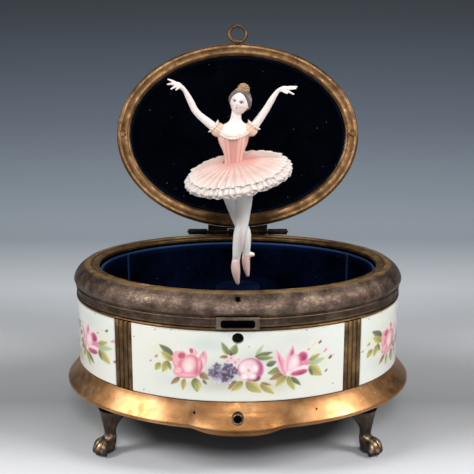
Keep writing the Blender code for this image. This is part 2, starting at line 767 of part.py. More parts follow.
def make_lid_lining():
    profile = [
        (0.0, OPENING_Z + 12.0),
        (46.0, OPENING_Z + 9.8),
        (68.6, OPENING_Z + 4.2),
        (68.6, OPENING_Z + 1.9),
        (67.4, OPENING_Z + 1.9),
        (66.6, OPENING_Z + 3.6),
        (46.0, OPENING_Z + 8.5),
        (0.0, OPENING_Z + 10.6),
    ]
    return oval_ring("lid_lining", profile, VELVET, closed=False)


def make_lid_ring():
    """A finger ring on a short post at the lid's front edge."""
    front = -(OPENING_B + LID_RADIUS - OPENING_A)
    middle = front - 7.1
    z = OPENING_Z + 3.1
    section = [(RING_RADIUS + across, up) for across, up in circle(1.15, 8)]
    ring = turned("lid_ring", section[::-1], ANTIQUE_BRASS, 20, closed=True)
    place(ring, 0.0, middle, z)
    post = rod("lid_ring_post", 1.5, -(front - GAP), -(front - 2.2), ANTIQUE_BRASS, 12, CUTTERS)
    place(post, 0.0, 0.0, z, AXIS_TO_FRONT)
    return join(ring, post)


def knuckle(name, left, right):
    cylinder = rod(name, KNUCKLE_RADIUS, left, right, BRONZE, 16, CUTTERS)
    return place(cylinder, 0.0, HINGE_Y, HINGE_Z, (0.0, math.pi / 2, 0.0))


def make_hinge():
    """Two leaves with five knuckles between them, on one pin."""
    bore = hole_cutter("hinge_bore", KNUCKLE_BORE, -40, 40, 0.0, HINGE_Y, HINGE_Z, (0.0, math.pi / 2, 0.0))
    case_leaf = block("hinge_leaf_case", (-31.0, 62.4, 91.5), (31.0, 68.2, 92.4), BRONZE)
    for i, (left, right) in enumerate(((-31.0, -19.0), (-6.0, 6.0), (19.0, 31.0))):
        join(case_leaf, knuckle(f"case_knuckle_{i}", left, right))
    for i, middle in enumerate((-12.5, 12.5)):
        low = (middle - 6.5, 60.0, 91.0)
        high = (middle + 6.5, 65.2, 93.0)
        cut(case_leaf, as_cutter(block(f"case_leaf_room_{i}", low, high, STEEL, CUTTERS)))
    cut(case_leaf, bore)
    rim = [oval_point(LID_RADIUS + GAP, math.radians(90.0 + turn)) for turn in (-14, -7.5, 0, 7.5, 14)]
    outline = [*((point.x, point.y) for point in rim), (-18.6, HINGE_Y - 0.6), (18.6, HINGE_Y - 0.6)]
    lid_leaf = place(plate("hinge_leaf_lid", outline, 0.9, BRONZE), z=HINGE_Z)
    for i, middle in enumerate((-12.5, 12.5)):
        join(lid_leaf, knuckle(f"lid_knuckle_{i}", middle - 6.1, middle + 6.1))
    room = block("lid_leaf_room", (-6.4, 60.9, 92.0), (6.4, 64.0, 95.0), STEEL, CUTTERS)
    cut(lid_leaf, as_cutter(room))
    cut(lid_leaf, bore)
    pin = rod("hinge_pin", HINGE_PIN_RADIUS, -31.8, 31.8, STEEL, 12)
    place(pin, 0.0, HINGE_Y, HINGE_Z, (0.0, math.pi / 2, 0.0))


# The porcelain figure


def make_legs():
    """Two crossed legs on their toes, joined at the hips under the skirt."""
    front = [
        (3.6, -0.6, 136.0, 4.9),
        (3.4, -1.4, 126.0, 4.6),
        (2.6, -2.0, 113.0, 3.5),
        (0.9, -1.6, 105.0, 3.5),
        (-0.6, -0.8, 97.0, 2.6),
        (-1.1, -0.6, 90.5, 2.1),
        (-1.3, -0.6, 86.6, 2.5),
        (-0.9, -0.2, 81.0, 2.0),
        (0.0, 0.0, TOE_Z, 1.15),
    ]
    back = [
        (-4.6, 1.2, 136.0, 4.9),
        (-3.6, 2.0, 126.0, 4.5),
        (0.2, 3.2, 113.0, 3.4),
        (3.8, 4.0, 105.0, 3.3),
        (4.3, 4.2, 97.0, 2.3),
        (4.2, 4.4, 91.0, 2.1),
        (4.6, 4.4, 87.0, 2.0),
        (5.6, 4.2, 80.4, 1.1),
    ]
    legs = tube("figure_legs", smooth_path(front, 2), PORCELAIN)
    join(legs, tube("back_leg", smooth_path(back, 2), PORCELAIN, CUTTERS))
    join(legs, ellipsoid("hips", (7.4, 5.6, 6.4), (-0.8, 0.4, 136.5), PORCELAIN, CUTTERS))
    heel = [(5.0, 4.4, 91.6, 1.9), (7.6, 5.0, 92.0, 1.7), (8.6, 5.2, 91.4, 1.2)]
    join(legs, tube("back_heel", heel, PORCELAIN, CUTTERS))
    return cut(legs, hole_cutter("toe_bore", 0.7, TOE_Z - 2.0, TOE_Z + 3.4, 0.0, 0.0, 0.0, steps=10))


def make_torso():
    """Bodice, shoulders, neck and head in one piece."""
    profile = [
        (0.0, 162.6),
        (5.2, 163.6),
        (8.2, 161.8),
        (7.6, 155.6),
        (5.5, 149.0),
        (6.0, 144.0),
        (0.0, 143.6),
    ]
    body = made_into_mesh(turned("figure_body", profile, PORCELAIN, 20))
    body.data.transform(Matrix.Diagonal((1.0, 0.72, 1.0, 1.0)))
    body.location.x = -1.7 * MM
    neck = [(-1.2, 0.2, 160.0, 4.6), (-0.8, 0.2, 164.4, 3.3), (-0.3, 0.0, 168.0, 2.5), (0.3, 0.0, 173.5, 2.5)]
    join(body, tube("neck", neck, PORCELAIN, CUTTERS))
    head = ellipsoid("head", (5.3, 6.0, 6.9), (0.9, -0.4, 177.0), PORCELAIN, CUTTERS, 16, math.radians(9.0))
    return join(body, head)


def make_hair():
    """A cap of hair that leaves the face free, with a bun on top."""
    tilt = math.radians(9.0)
    hair = ellipsoid("figure_hair", (6.5, 7.0, 7.9), (1.0, 0.2, 177.6), HAIR, None, 16, tilt)
    join(hair, ellipsoid("bun", (3.2, 3.0, 2.9), (2.6, 2.0, 184.4), HAIR, CUTTERS, 12))
    inside = ellipsoid("hair_inside", (5.6, 6.4, 7.25), (0.9, -0.4, 177.0), HAIR, CUTTERS, 16, tilt)
    cut(hair, as_cutter(inside))
    face = block("hair_face_room", (-12.0, -12.0, -16.0), (12.0, 0.0, 3.4), STEEL, CUTTERS)
    place(face, 0.6, -5.4, 172.8, (math.radians(-24.0), tilt, 0.0))
    cut(hair, as_cutter(face))
    nape = block("hair_nape_room", (-12.0, -12.0, 160.0), (12.0, 12.0, 171.4), STEEL, CUTTERS)
    return cut(hair, as_cutter(nape))


def make_arms():
    left = [
        (-10.3, 0.0, 162.0, 2.6),
        (-15.6, -0.6, 166.2, 2.1),
        (-22.3, -1.4, 171.9, 1.8),
        (-25.6, -2.2, 178.4, 1.6),
        (-28.6, -3.2, 184.4, 1.1),
        (-32.6, -4.0, 186.8, 1.7),
        (-36.6, -4.6, 188.2, 0.8),
    ]
    right = [
        (7.2, 0.0, 162.0, 2.6),
        (11.4, -0.6, 168.6, 2.1),
        (16.1, -1.4, 175.9, 1.8),
        (18.6, -2.2, 179.6, 1.6),
        (21.2, -3.2, 183.6, 1.1),
        (25.6, -4.0, 185.2, 1.7),
        (31.0, -4.6, 185.0, 0.8),
    ]
    tube("figure_arm_left", smooth_path(left, 2), PORCELAIN)
    tube("figure_arm_right", smooth_path(right, 2), PORCELAIN)


def make_tutu():
    """The stiff skirt, a shallow tilted bell round the waist."""
    profile = [
        (7.4, 3.4),
        (16.0, 2.4),
        (25.0, -0.4),
        (29.2, -3.4),
        (28.0, -6.6),
        (20.0, -3.6),
        (12.6, -0.4),
        (7.4, 0.4),
    ]
    tutu = turned("figure_tutu", profile, TULLE, 36, closed=True)
    return place(tutu, -0.4, 0.0, 142.6, (math.radians(12.0), math.radians(-10.0), 0.0))


# Joints' axes


def parent_to(empty, names):
    for name in names:
        child = bpy.data.objects[name]
        child.parent = empty
        child.matrix_parent_inverse = empty.matrix_world.inverted()


def axis_empty(name, x, y, z):
    empty = bpy.data.objects.new(name, None)
    empty.empty_display_size = 10 * MM
    PARTS.objects.link(empty)
    place(empty, x, y, z)
    bpy.context.view_layer.update()
    return empty


def open_lid():
    """Hang the lid's pieces and their cutters on the hinge axis and swing them back."""
    axis = axis_empty("lid_axis", 0.0, HINGE_Y, HINGE_Z)
    names = ["lid_shell", "lid_frame", "lid_lining", "lid_ring", "lid_ring_post", "hinge_leaf_lid"]
    names += [f"lid_knuckle_{i}" for i in (0, 1)] + ["lid_leaf_room"]
    for side in ("left", "right"):
        names += [f"frame_screw_{side}", f"frame_screw_seat_{side}"]
    parent_to(axis, names)
    axis.rotation_euler.x = -math.radians(LID_OPEN_DEGREES)


def shift_case():
    """Put the box's bounding box, with the lid open, over the origin."""
    base = axis_empty("case_axis", 0.0, 0.0, 0.0)
    loose = [obj.name for obj in bpy.data.objects if obj.parent is None and obj != base]
    parent_to(base, loose)
    base.location.y = CASE_SHIFT_Y * MM


def main():
    make_collar_rim()
    make_inner_bezel()
    make_upper_bead()
    make_case_wall()
    make_enamel_panels()
    make_pilasters()
    make_base_skirt()
    make_winding_escutcheon()
    make_base_plate()
    make_feet()
    make_catch()
    make_linings()
    make_floor()
    make_plates()
    make_barrel()
    make_mainspring()
    make_winding_arbor()
    make_cylinder()
    make_comb()
    make_governor()
    make_spindle()
    make_lid_shell()
    make_lid_frame()
    make_lid_lining()
    make_lid_ring()
    make_hinge()
    make_legs()
    make_torso()
    make_hair()
    make_arms()
    make_tutu()
    open_lid()
    shift_case()


main()
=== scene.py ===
"""A ballerina jewellery box with its lid open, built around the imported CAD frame."""

import json
import math

import bmesh
import bpy
import numpy as np
from mathutils import Matrix, Vector


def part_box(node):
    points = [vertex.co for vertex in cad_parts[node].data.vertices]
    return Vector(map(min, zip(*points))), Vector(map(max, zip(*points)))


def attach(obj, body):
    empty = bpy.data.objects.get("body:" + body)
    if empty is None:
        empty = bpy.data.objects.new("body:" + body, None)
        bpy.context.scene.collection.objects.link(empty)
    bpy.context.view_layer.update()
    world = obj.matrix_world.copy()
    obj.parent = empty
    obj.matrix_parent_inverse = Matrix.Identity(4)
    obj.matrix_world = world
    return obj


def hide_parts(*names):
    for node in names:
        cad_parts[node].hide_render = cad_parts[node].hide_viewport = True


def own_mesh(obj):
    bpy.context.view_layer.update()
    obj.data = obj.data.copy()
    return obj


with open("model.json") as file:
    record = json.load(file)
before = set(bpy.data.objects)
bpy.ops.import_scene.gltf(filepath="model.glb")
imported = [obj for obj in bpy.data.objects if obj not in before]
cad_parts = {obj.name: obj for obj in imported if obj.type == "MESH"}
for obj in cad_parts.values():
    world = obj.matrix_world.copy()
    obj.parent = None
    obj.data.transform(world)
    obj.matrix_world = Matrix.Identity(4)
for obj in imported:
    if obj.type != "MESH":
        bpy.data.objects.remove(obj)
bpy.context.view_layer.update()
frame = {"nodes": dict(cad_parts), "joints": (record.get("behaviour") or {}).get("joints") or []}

MM = 0.001
TAU = math.tau
COLLAR_LOW, COLLAR_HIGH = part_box("collar_rim")
CENTRE_Y = (COLLAR_LOW.y + COLLAR_HIGH.y) / 2
COLLAR_REACH = 13.8  # how far the collar goes out past the opening
LONG = (COLLAR_HIGH.x - COLLAR_LOW.x) / 2 / MM - COLLAR_REACH
SHORT = (COLLAR_HIGH.y - COLLAR_LOW.y) / 2 / MM - COLLAR_REACH
CORE = 56.0  # inside this radius an oval shrinks instead of keeping its margin
RIM = COLLAR_HIGH.z / MM - 1.2
BAND_LOW = COLLAR_LOW.z / MM
ENAMEL_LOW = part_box("enamel_front")[0].z / MM
ENAMEL_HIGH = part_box("enamel_front")[1].z / MM
SKIRT_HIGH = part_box("base_skirt")[1].z / MM
FLOOR_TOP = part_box("false_floor")[1].z / MM
SLOT_Z, CATCH_Z, WINDING_Z = 77.5, 69.9, 30.8
FOOT_X, FOOT_Y = 62.8, 46.0
SIDE_SHIFT = 8.0  # how far forward the side panels' flowers sit
LACE_THICK, NET_THICK = 0.22, 0.14
JOINTS = {joint["name"]: joint for joint in frame["joints"]}
HINGE = Vector(JOINTS["lid_hinge"]["pos_m"]) / MM
HINGE.y -= CENTRE_Y / MM
OPEN = -math.radians(JOINTS["lid_hinge"]["range_deg"][1])
LID = Matrix.Translation(HINGE) @ Matrix.Rotation(OPEN, 4, "X") @ Matrix.Translation(-HINGE)
TO_WORLD = Matrix.Translation((0.0, CENTRE_Y, 0.0)) @ Matrix.Diagonal((MM, MM, MM, 1.0))


def unit(value):
    return np.clip(value, 0.0, 1.0)


def bell(distance, width, other=0.0, other_width=1.0):
    """1 at no distance, falling smoothly to 0 past the width, in one direction or two."""
    return np.exp(-((distance / width) ** 2) - (other / other_width) ** 2)


# Shapes: a pair of points in millimetres, measured from the case's middle, and faces


def oval(radius, turn):
    """x and y of points at these radii, measured along the long axis, and turns."""
    radius, turn = np.broadcast_arrays(np.asarray(radius, float), np.asarray(turn, float))
    ring = np.maximum(radius, CORE)
    across, along = SHORT * np.cos(turn), LONG * np.sin(turn)
    length = np.hypot(across, along)
    x = (LONG * np.cos(turn) + across / length * (ring - LONG)) * radius / ring
    y = (SHORT * np.sin(turn) + along / length * (ring - LONG)) * radius / ring
    return x, y


def spline(keys, per):
    """Points on a smooth curve through the keys, with per steps between two keys."""
    keys = np.asarray(keys, float)
    ends = np.vstack([2 * keys[0] - keys[1], keys, 2 * keys[-1] - keys[-2]])
    made = []
    for a, b, c, d in zip(ends, ends[1:], ends[2:], ends[3:]):
        for t in np.arange(per) / per:
            slope = (c - a) * t + (2 * a - 5 * b + 4 * c - d) * t**2
            made.append(b + 0.5 * (slope + (3 * b - a - 3 * c + d) * t**3))
    return np.array([*made, keys[-1]])


def skin(points, around=False, along=False, caps=False):
    """A surface over a grid of points; it closes across columns (around) or rows (along)."""
    rows, columns = points.shape[:2]
    index = np.arange(rows * columns).reshape(rows, columns)
    ends = [index[0][::-1].tolist(), index[-1].tolist()] if caps else []
    if along:
        index = np.vstack([index, index[:1]])
    if around:
        index = np.hstack([index, index[:, :1]])
    quads = np.stack([index[:-1, :-1], index[:-1, 1:], index[1:, 1:], index[1:, :-1]], -1)
    return points.reshape(-1, 3), quads.reshape(-1, 4).tolist() + ends


def merged(*shapes):
    """Several shapes as one."""
    points, faces, count = [], [], 0
    for own_points, own_faces in shapes:
        points.append(own_points)
        faces += [[corner + count for corner in face] for face in own_faces]
        count += len(own_points)
    return np.vstack(points), faces


def moved(shape, matrix):
    matrix = np.array(matrix, float)
    return shape[0] @ matrix[:3, :3].T + matrix[:3, 3], shape[1]


def oval_ring(profile, steps=240):
    """A closed ring round the oval, from a closed outline of radius and height."""
    profile = np.asarray(profile, float)
    turns = np.arange(steps) * TAU / steps
    x, y = oval(profile[None, :, 0], turns[:, None])
    z = np.broadcast_to(profile[None, :, 1], x.shape)
    return skin(np.stack([x, y, z], -1), around=True, along=True)


def oval_disc(profile, steps=192):
    """A lidded surface over the oval, from a profile that ends near the middle."""
    profile = np.asarray(profile, float)
    turns = np.arange(steps) * TAU / steps
    x, y = oval(profile[:, None, 0], turns[None, :])
    z = np.broadcast_to(profile[:, None, 1], x.shape)
    return skin(np.stack([x, y, z], -1), around=True, caps=True)


def lathe(profile, steps=48, flutes=None):
    """A turned shape on the Z axis; flutes(turn, row) gives a change of radius."""
    profile = np.asarray(profile, float)
    turns = np.arange(steps) * TAU / steps
    radius = np.repeat(profile[:, :1], steps, 1)
    if flutes:
        radius = radius + flutes(turns[None, :], profile[:, 1:])
    height = np.repeat(profile[:, 1:], steps, 1)
    points = np.stack([radius * np.cos(turns), radius * np.sin(turns), height], -1)
    return skin(points, around=True, caps=True)


def tube(keys, sides=24, per=6, flat=1.0, rounded=True, reference=(0.0, 1.0, 0.0)):
    """A limb along keys of x, y, z and radius; flat is its depth over its width."""
    path = spline(keys, per)
    tangent = np.gradient(path[:, :3], axis=0)
    tangent /= np.linalg.norm(tangent, axis=1)[:, None]
    if rounded:
        angles = np.linspace(0.2, 1.45, 5)
        start = [(path[0], tangent[0], -math.sin(a), math.cos(a)) for a in angles[::-1]]
        end = [(path[-1], tangent[-1], math.sin(a), math.cos(a)) for a in angles]
        first = [np.append(p[:3] + t * s * p[3], p[3] * c) for p, t, s, c in start]
        last = [np.append(p[:3] + t * s * p[3], p[3] * c) for p, t, s, c in end]
        path = np.vstack([first, path, last])
        tangent = np.vstack([np.repeat(tangent[:1], 5, 0), tangent, np.repeat(tangent[-1:], 5, 0)])
    side = np.cross(tangent, np.array(reference))
    side /= np.linalg.norm(side, axis=1)[:, None]
    depth = np.cross(side, tangent)
    turns = np.arange(sides) * TAU / sides
    ring = side[:, None] * np.cos(turns)[None, :, None]
    ring = ring + depth[:, None] * (flat * np.sin(turns))[None, :, None]
    return skin(path[:, None, :3] + ring * path[:, None, 3:], around=True, caps=True)


def ellipsoid(sizes, middle=(0.0, 0.0, 0.0), steps=48, rows=32):
    lean = np.linspace(0.03, math.pi - 0.03, rows)
    turns = np.arange(steps) * TAU / steps
    points = np.stack(
        [
            sizes[0] * np.sin(lean)[:, None] * np.cos(turns),
            sizes[1] * np.sin(lean)[:, None] * np.sin(turns),
            sizes[2] * np.repeat(np.cos(lean)[:, None], steps, 1),
        ],
        -1,
    )
    return skin(points + np.array(middle), around=True, caps=True)


def ring_of(radius, thickness, middle, matrix=None, steps=48, sides=16):
    """A plain round ring in the XY plane."""
    turns = np.arange(steps)[:, None] * TAU / steps
    angles = np.arange(sides)[None, :] * TAU / sides
    reach = radius + thickness * np.cos(angles)
    height = thickness * np.sin(angles) + 0 * turns
    points = np.stack([reach * np.cos(turns), reach * np.sin(turns), height], -1)
    shape = skin(points, around=True, along=True)
    if matrix is not None:
        shape = moved(shape, matrix)
    return shape[0] + np.array(middle), shape[1]


# Pieces


def mesh_of(name, shape):
    """A mesh in world space, its faces turned outwards."""
    mesh = bpy.data.meshes.new(name)
    mesh.from_pydata(shape[0].tolist(), [], shape[1])
    work = bmesh.new()
    work.from_mesh(mesh)
    bmesh.ops.recalc_face_normals(work, faces=work.faces)
    work.to_mesh(mesh)
    work.free()
    mesh.transform(TO_WORLD)
    return mesh


def linked(name, data):
    made = bpy.data.objects.new(name, data)
    bpy.context.scene.collection.objects.link(made)
    return made


def piece(name, shape, body, finish, stands_for=(), sharp=40.0):
    """One visible piece that rides on a body and may stand for CAD nodes."""
    mesh = mesh_of(name, shape)
    mesh.shade_smooth()
    mesh.set_sharp_from_angle(angle=math.radians(sharp))
    made = linked(name, mesh)
    mesh.materials.append(finish)
    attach(made, body)
    if stands_for:
        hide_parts(*stands_for)
    return made


def settle(made):
    """Make the piece's modifiers part of its mesh."""
    graph = bpy.context.evaluated_depsgraph_get()
    graph.update()
    mesh = bpy.data.meshes.new_from_object(made.evaluated_get(graph))
    made.modifiers.clear()
    made.data = mesh


def thickened(made, thickness):
    """Give an open surface this thickness, in millimetres."""
    thick = made.modifiers.new("body", "SOLIDIFY")
    thick.thickness = thickness * MM
    settle(made)


def melted(made, voxel, passes=6):
    """Flow a piece's overlapping shapes into one smooth skin."""
    remesh = made.modifiers.new("melt", "REMESH")
    remesh.mode = "VOXEL"
    remesh.voxel_size = voxel * MM
    remesh.use_smooth_shade = True
    relax = made.modifiers.new("relax", "SMOOTH")
    relax.iterations = passes
    settle(made)
    made.data.shade_smooth()


def bore(start, end, radius):
    """A round cutter from start to end."""
    start, end = Vector(start), Vector(end)
    turn = (end - start).to_track_quat("Z", "Y").to_matrix().to_4x4()
    cylinder = lathe([(radius, 0.0), (radius, (end - start).length)], 32)
    return moved(cylinder, Matrix.Translation(start) @ turn)


def drilled(made, cutters):
    """Cut these shapes out of the piece, one after another."""
    for cutter in cutters:
        helper = linked("cutter", mesh_of("cutter", cutter))
        cut = made.modifiers.new("cut", "BOOLEAN")
        cut.object = helper
        cut.solver = "EXACT"
        settle(made)
        bpy.data.objects.remove(helper)


def slab(half_x, half_z, corner, y_rows):
    """A rounded plate across Y: y_rows holds pairs of y and how far its outline shrinks."""
    turns = np.arange(32) * TAU / 32 + TAU / 64
    rows = []
    for y, inset in y_rows:
        x = np.sign(np.cos(turns)) * (half_x - corner) + (corner - inset) * np.cos(turns)
        z = np.sign(np.sin(turns)) * (half_z - corner) + (corner - inset) * np.sin(turns)
        rows.append(np.column_stack([x, np.full(32, y), z]))
    return skin(np.array(rows), around=True, caps=True)


def places(made):
    """The piece's points in millimetres from the case's middle."""
    flat = np.empty(len(made.data.vertices) * 3, np.float32)
    made.data.vertices.foreach_get("co", flat)
    back = np.array(TO_WORLD.inverted(), float)
    return flat.reshape(-1, 3).astype(float) @ back[:3, :3].T + back[:3, 3]


def painted(made, colours, name="paint"):
    attribute = made.data.color_attributes.new(name, "FLOAT_COLOR", "POINT")
    full = np.ones((len(colours), 4), np.float32)
    full[:, :3] = unit(colours)
    attribute.data.foreach_set("color", full.ravel())
    return made


def rgb(red, green, blue):
    """A colour on screen, 0 to 255, as linear light."""
    shares = np.array([red, green, blue]) / 255.0
    return np.where(shares <= 0.04045, shares / 12.92, ((shares + 0.055) / 1.055) ** 2.4)


def spread(value):
    return (*[float(x) for x in value], 1.0)


# Finishes


class Finish:
    """One procedural material. Each method adds a node and gives its output."""

    def __init__(self, name, **sockets):
        self.material = bpy.data.materials.new(name)
        self.material.use_nodes = True
        self.nodes = self.material.node_tree.nodes
        self.links = self.material.node_tree.links
        self.surface = self.nodes["Principled BSDF"]
        self.place = self.nodes.new("ShaderNodeTexCoord").outputs["Object"]
        for socket, value in sockets.items():
            self.surface.inputs[socket.replace("_", " ")].default_value = value

    def put(self, value, socket):
        if isinstance(value, bpy.types.NodeSocket):
            self.links.new(value, socket)
        else:
            socket.default_value = value

    def stretched(self, scale):
        node = self.nodes.new("ShaderNodeMapping")
        node.inputs["Scale"].default_value = scale
        self.links.new(self.place, node.inputs["Vector"])
        return node.outputs["Vector"]

    def noise(self, scale, detail=4.0, stretch=None, roughness=0.55, distortion=0.0):
        node = self.nodes.new("ShaderNodeTexNoise")
        self.links.new(self.stretched(stretch) if stretch else self.place, node.inputs["Vector"])
        node.inputs["Scale"].default_value = scale
        node.inputs["Detail"].default_value = detail
        node.inputs["Roughness"].default_value = roughness
        node.inputs["Distortion"].default_value = distortion
        return node.outputs["Fac"]

    def cells(self, scale, feature="F1", stretch=None):
        node = self.nodes.new("ShaderNodeTexVoronoi")
        node.feature = feature
        self.links.new(self.stretched(stretch) if stretch else self.place, node.inputs["Vector"])
        node.inputs["Scale"].default_value = scale
        return node.outputs["Distance"]

    def attribute(self, name="paint"):
        node = self.nodes.new("ShaderNodeAttribute")
        node.attribute_name = name
        return node.outputs["Color"]

    def ramp(self, value, stops):
        """stops are pairs of place and a colour or a number."""
        node = self.nodes.new("ShaderNodeValToRGB")
        stops = [(at, (c, c, c) if isinstance(c, float) else c) for at, c in stops]
        first, last = node.color_ramp.elements
        first.position, first.color = stops[0][0], spread(stops[0][1])
        last.position, last.color = stops[-1][0], spread(stops[-1][1])
        for at, colour in stops[1:-1]:
            node.color_ramp.elements.new(at).color = spread(colour)
        self.links.new(value, node.inputs["Fac"])
        return node.outputs["Color"]

    def grain(self, scale, detail, low, high):
        """A value that wanders from low to high, for the roughness."""
        return self.ramp(self.noise(scale, detail), [(0.3, low), (0.7, high)])

    def mix(self, share, a, b, blend="MIX"):
        node = self.nodes.new("ShaderNodeMix")
        node.data_type = "RGBA"
        node.blend_type = blend
        for value, socket in ((share, 0), (a, 6), (b, 7)):
            value = spread(value) if isinstance(value, np.ndarray) else value
            self.put(value, node.inputs[socket])
        return node.outputs[2]

    def maths(self, operation, a, b):
        node = self.nodes.new("ShaderNodeMath")
        node.operation = operation
        self.put(a, node.inputs[0])
        self.put(b, node.inputs[1])
        return node.outputs[0]

    def done(self, colour=None, roughness=None, height=None, depth=0.1):
        """Join the outputs to the shader. depth is the relief's, in millimetres."""
        for value, socket in ((colour, "Base Color"), (roughness, "Roughness")):
            if value is not None:
                self.put(value, self.surface.inputs[socket])
        if height is not None:
            node = self.nodes.new("ShaderNodeBump")
            node.inputs["Strength"].default_value = 1.0
            node.inputs["Distance"].default_value = depth * MM
            self.links.new(height, node.inputs["Height"])
            self.links.new(node.outputs["Normal"], self.surface.inputs["Normal"])
        return self.material


def engraved_bronze():
    """Dark chased bronze with scrolls, pits and brassy worn edges, the edges brightened also as a painted
    highlight, and painted shade where its shade attribute is set.
    """
    f = Finish("engraved_bronze", Metallic=0.88, Specular_IOR_Level=0.5)
    tone = f.ramp(f.noise(140, 6.0), [(0.3, rgb(70, 56, 47)), (0.5, rgb(108, 90, 78)),
        (0.72, rgb(144, 124, 110))])
    scrolls = f.ramp(f.cells(330, "DISTANCE_TO_EDGE", (1.0, 1.0, 1.3)), [(0.02, 0.0), (0.16, 1.0)])
    pits = f.ramp(f.noise(1900, 3.0), [(0.32, 0.0), (0.5, 1.0)])
    tone = f.mix(f.ramp(scrolls, [(0.0, 0.35), (1.0, 0.0)]), tone, rgb(52, 40, 32))
    # brassy worn edges, brightened also as a painted highlight
    tone = f.mix(f.attribute("wear_and_highlight"), tone, rgb(206, 164, 98))
    # painted shade: near black where the shade attribute is set
    tone = f.mix(f.attribute("shade"), tone, rgb(4, 3, 3))
    streaks = f.noise(420, 3.0, (1.0, 1.0, 5.0))
    height = f.maths("ADD", f.maths("MULTIPLY", scrolls, 0.5), f.maths("MULTIPLY", pits, 0.35))
    height = f.maths("ADD", height, f.maths("MULTIPLY", streaks, 0.8))
    return f.done(tone, f.grain(300, 5.0, 0.36, 0.58), height, 0.09)


def satin_brass():
    """Warm gilt brass with a soft sheen, brown blotches and fine scratches."""
    f = Finish("satin_brass", Metallic=1.0)
    tone = f.ramp(f.noise(55, 6.0, None, 0.6), [(0.3, rgb(146, 100, 60)), (0.52, rgb(184, 136, 92)),
        (0.72, rgb(210, 168, 126))])
    spots = f.ramp(f.noise(620, 2.0), [(0.66, 0.0), (0.76, 0.55)])
    tone = f.mix(spots, tone, rgb(236, 206, 150))
    stains = f.ramp(f.noise(190, 4.0, None, 0.6, 1.2), [(0.6, 0.0), (0.8, 0.6)])
    tone = f.mix(stains, tone, rgb(120, 74, 38))
    # painted shade: darker brown where the shade attribute is set
    tone = f.mix(f.attribute("shade"), tone, rgb(88, 56, 28))
    scratches = f.noise(700, 2.0, (1.0, 1.0, 9.0))
    height = f.maths("ADD", f.noise(1300, 2.0), f.maths("MULTIPLY", scratches, 0.6))
    return f.done(tone, f.grain(210, 5.0, 0.3, 0.45), height, 0.028)


def antique_brass(name="antique_brass", low=(60, 42, 27), mid=(98, 72, 46), high=(140, 108, 72)):
    """Brown aged brass."""
    f = Finish(name, Metallic=0.95)
    tone = f.ramp(f.noise(120, 6.0, None, 0.62), [(0.3, rgb(*low)), (0.52, rgb(*mid)), (0.74, rgb(*high))])
    grime = f.ramp(f.noise(420, 4.0, None, 0.6, 0.8), [(0.58, 0.0), (0.78, 0.7)])
    tone = f.mix(grime, tone, rgb(58, 40, 26))
    return f.done(tone, f.grain(260, 4.0, 0.3, 0.5), f.noise(900, 4.0), 0.045)


def dark_bronze():
    """Near black bronze whose high places are rubbed bright, and brightened also as a painted highlight."""
    f = Finish("dark_bronze", Metallic=0.85)
    tone = f.ramp(f.noise(170, 6.0), [(0.3, rgb(38, 31, 27)), (0.55, rgb(66, 54, 46)),
        (0.78, rgb(104, 86, 72))])
    # rubbed high places, brightened also as a painted highlight
    tone = f.mix(f.attribute("wear_and_highlight"), tone, rgb(206, 176, 144))
    return f.done(tone, f.grain(320, 4.0, 0.28, 0.5), f.noise(520, 5.0), 0.11)


def painted_enamel():
    """Cream enamel under a clear gloss, with a little orange peel."""
    f = Finish("painted_enamel", Coat_Weight=0.6, Coat_Roughness=0.05, Specular_IOR_Level=0.5)
    specks = f.ramp(f.noise(900, 2.0), [(0.74, 0.0), (0.8, 0.35)])
    tone = f.mix(specks, f.attribute(), rgb(120, 96, 70))
    return f.done(tone, f.grain(90, 3.0, 0.16, 0.26), f.noise(75, 3.0), 0.05)


def velvet(name="velvet", base=(1, 2, 6), nap=(8, 18, 42)):
    """Deep blue silk velvet: dark from above, with a painted sheen of lighter blue where its edge attribute
    is set.
    """
    f = Finish(name, Sheen_Weight=0.05, Sheen_Roughness=0.3, Specular_IOR_Level=0.0)
    f.surface.inputs["Sheen Tint"].default_value = (0.25, 0.42, 1.0, 1.0)
    crush = f.noise(45, 5.0, None, 0.6, 0.6)
    tone = f.ramp(crush, [(0.35, rgb(*base)), (0.75, rgb(*nap))])
    dust = f.ramp(f.cells(190), [(0.02, 0.6), (0.04, 0.0)])
    tone = f.mix(dust, tone, rgb(170, 176, 184))
    # painted sheen: lighter blue where the edge attribute is set
    tone = f.mix(f.attribute("edge"), tone, rgb(58, 92, 150))
    return f.done(tone, f.grain(160, 3.0, 0.62, 0.85), f.noise(2600, 2.0), 0.1)


def steel():
    f = Finish("steel", Metallic=1.0)
    tone = f.ramp(f.noise(240, 5.0), [(0.3, rgb(98, 92, 86)), (0.7, rgb(158, 152, 146))])
    return f.done(tone, f.grain(420, 3.0, 0.28, 0.48), f.noise(1500, 2.0, (1.0, 5.0, 1.0)), 0.02)


def porcelain():
    """Glazed porcelain over its painted colours."""
    f = Finish("porcelain", Coat_Weight=0.25, Coat_Roughness=0.12, Subsurface_Weight=0.12,
        Subsurface_Scale=0.002)
    shade = f.grain(260, 3.0, 0.95, 1.0)
    tone = f.mix(1.0, f.attribute(), shade, "MULTIPLY")
    return f.done(tone, f.grain(300, 3.0, 0.3, 0.42), f.noise(700, 3.0), 0.03)


def lace():
    """Stiff porcelain lace: matt, finely netted."""
    f = Finish("lace", Specular_IOR_Level=0.3, Subsurface_Weight=0.1, Subsurface_Scale=0.002)
    net = f.ramp(f.cells(1500, "DISTANCE_TO_EDGE"), [(0.05, 0.0), (0.3, 1.0)])
    tone = f.mix(f.ramp(net, [(0.0, 0.14), (1.0, 0.0)]), f.attribute(), rgb(196, 160, 150))
    return f.done(tone, f.grain(400, 3.0, 0.55, 0.75), net, 0.05)


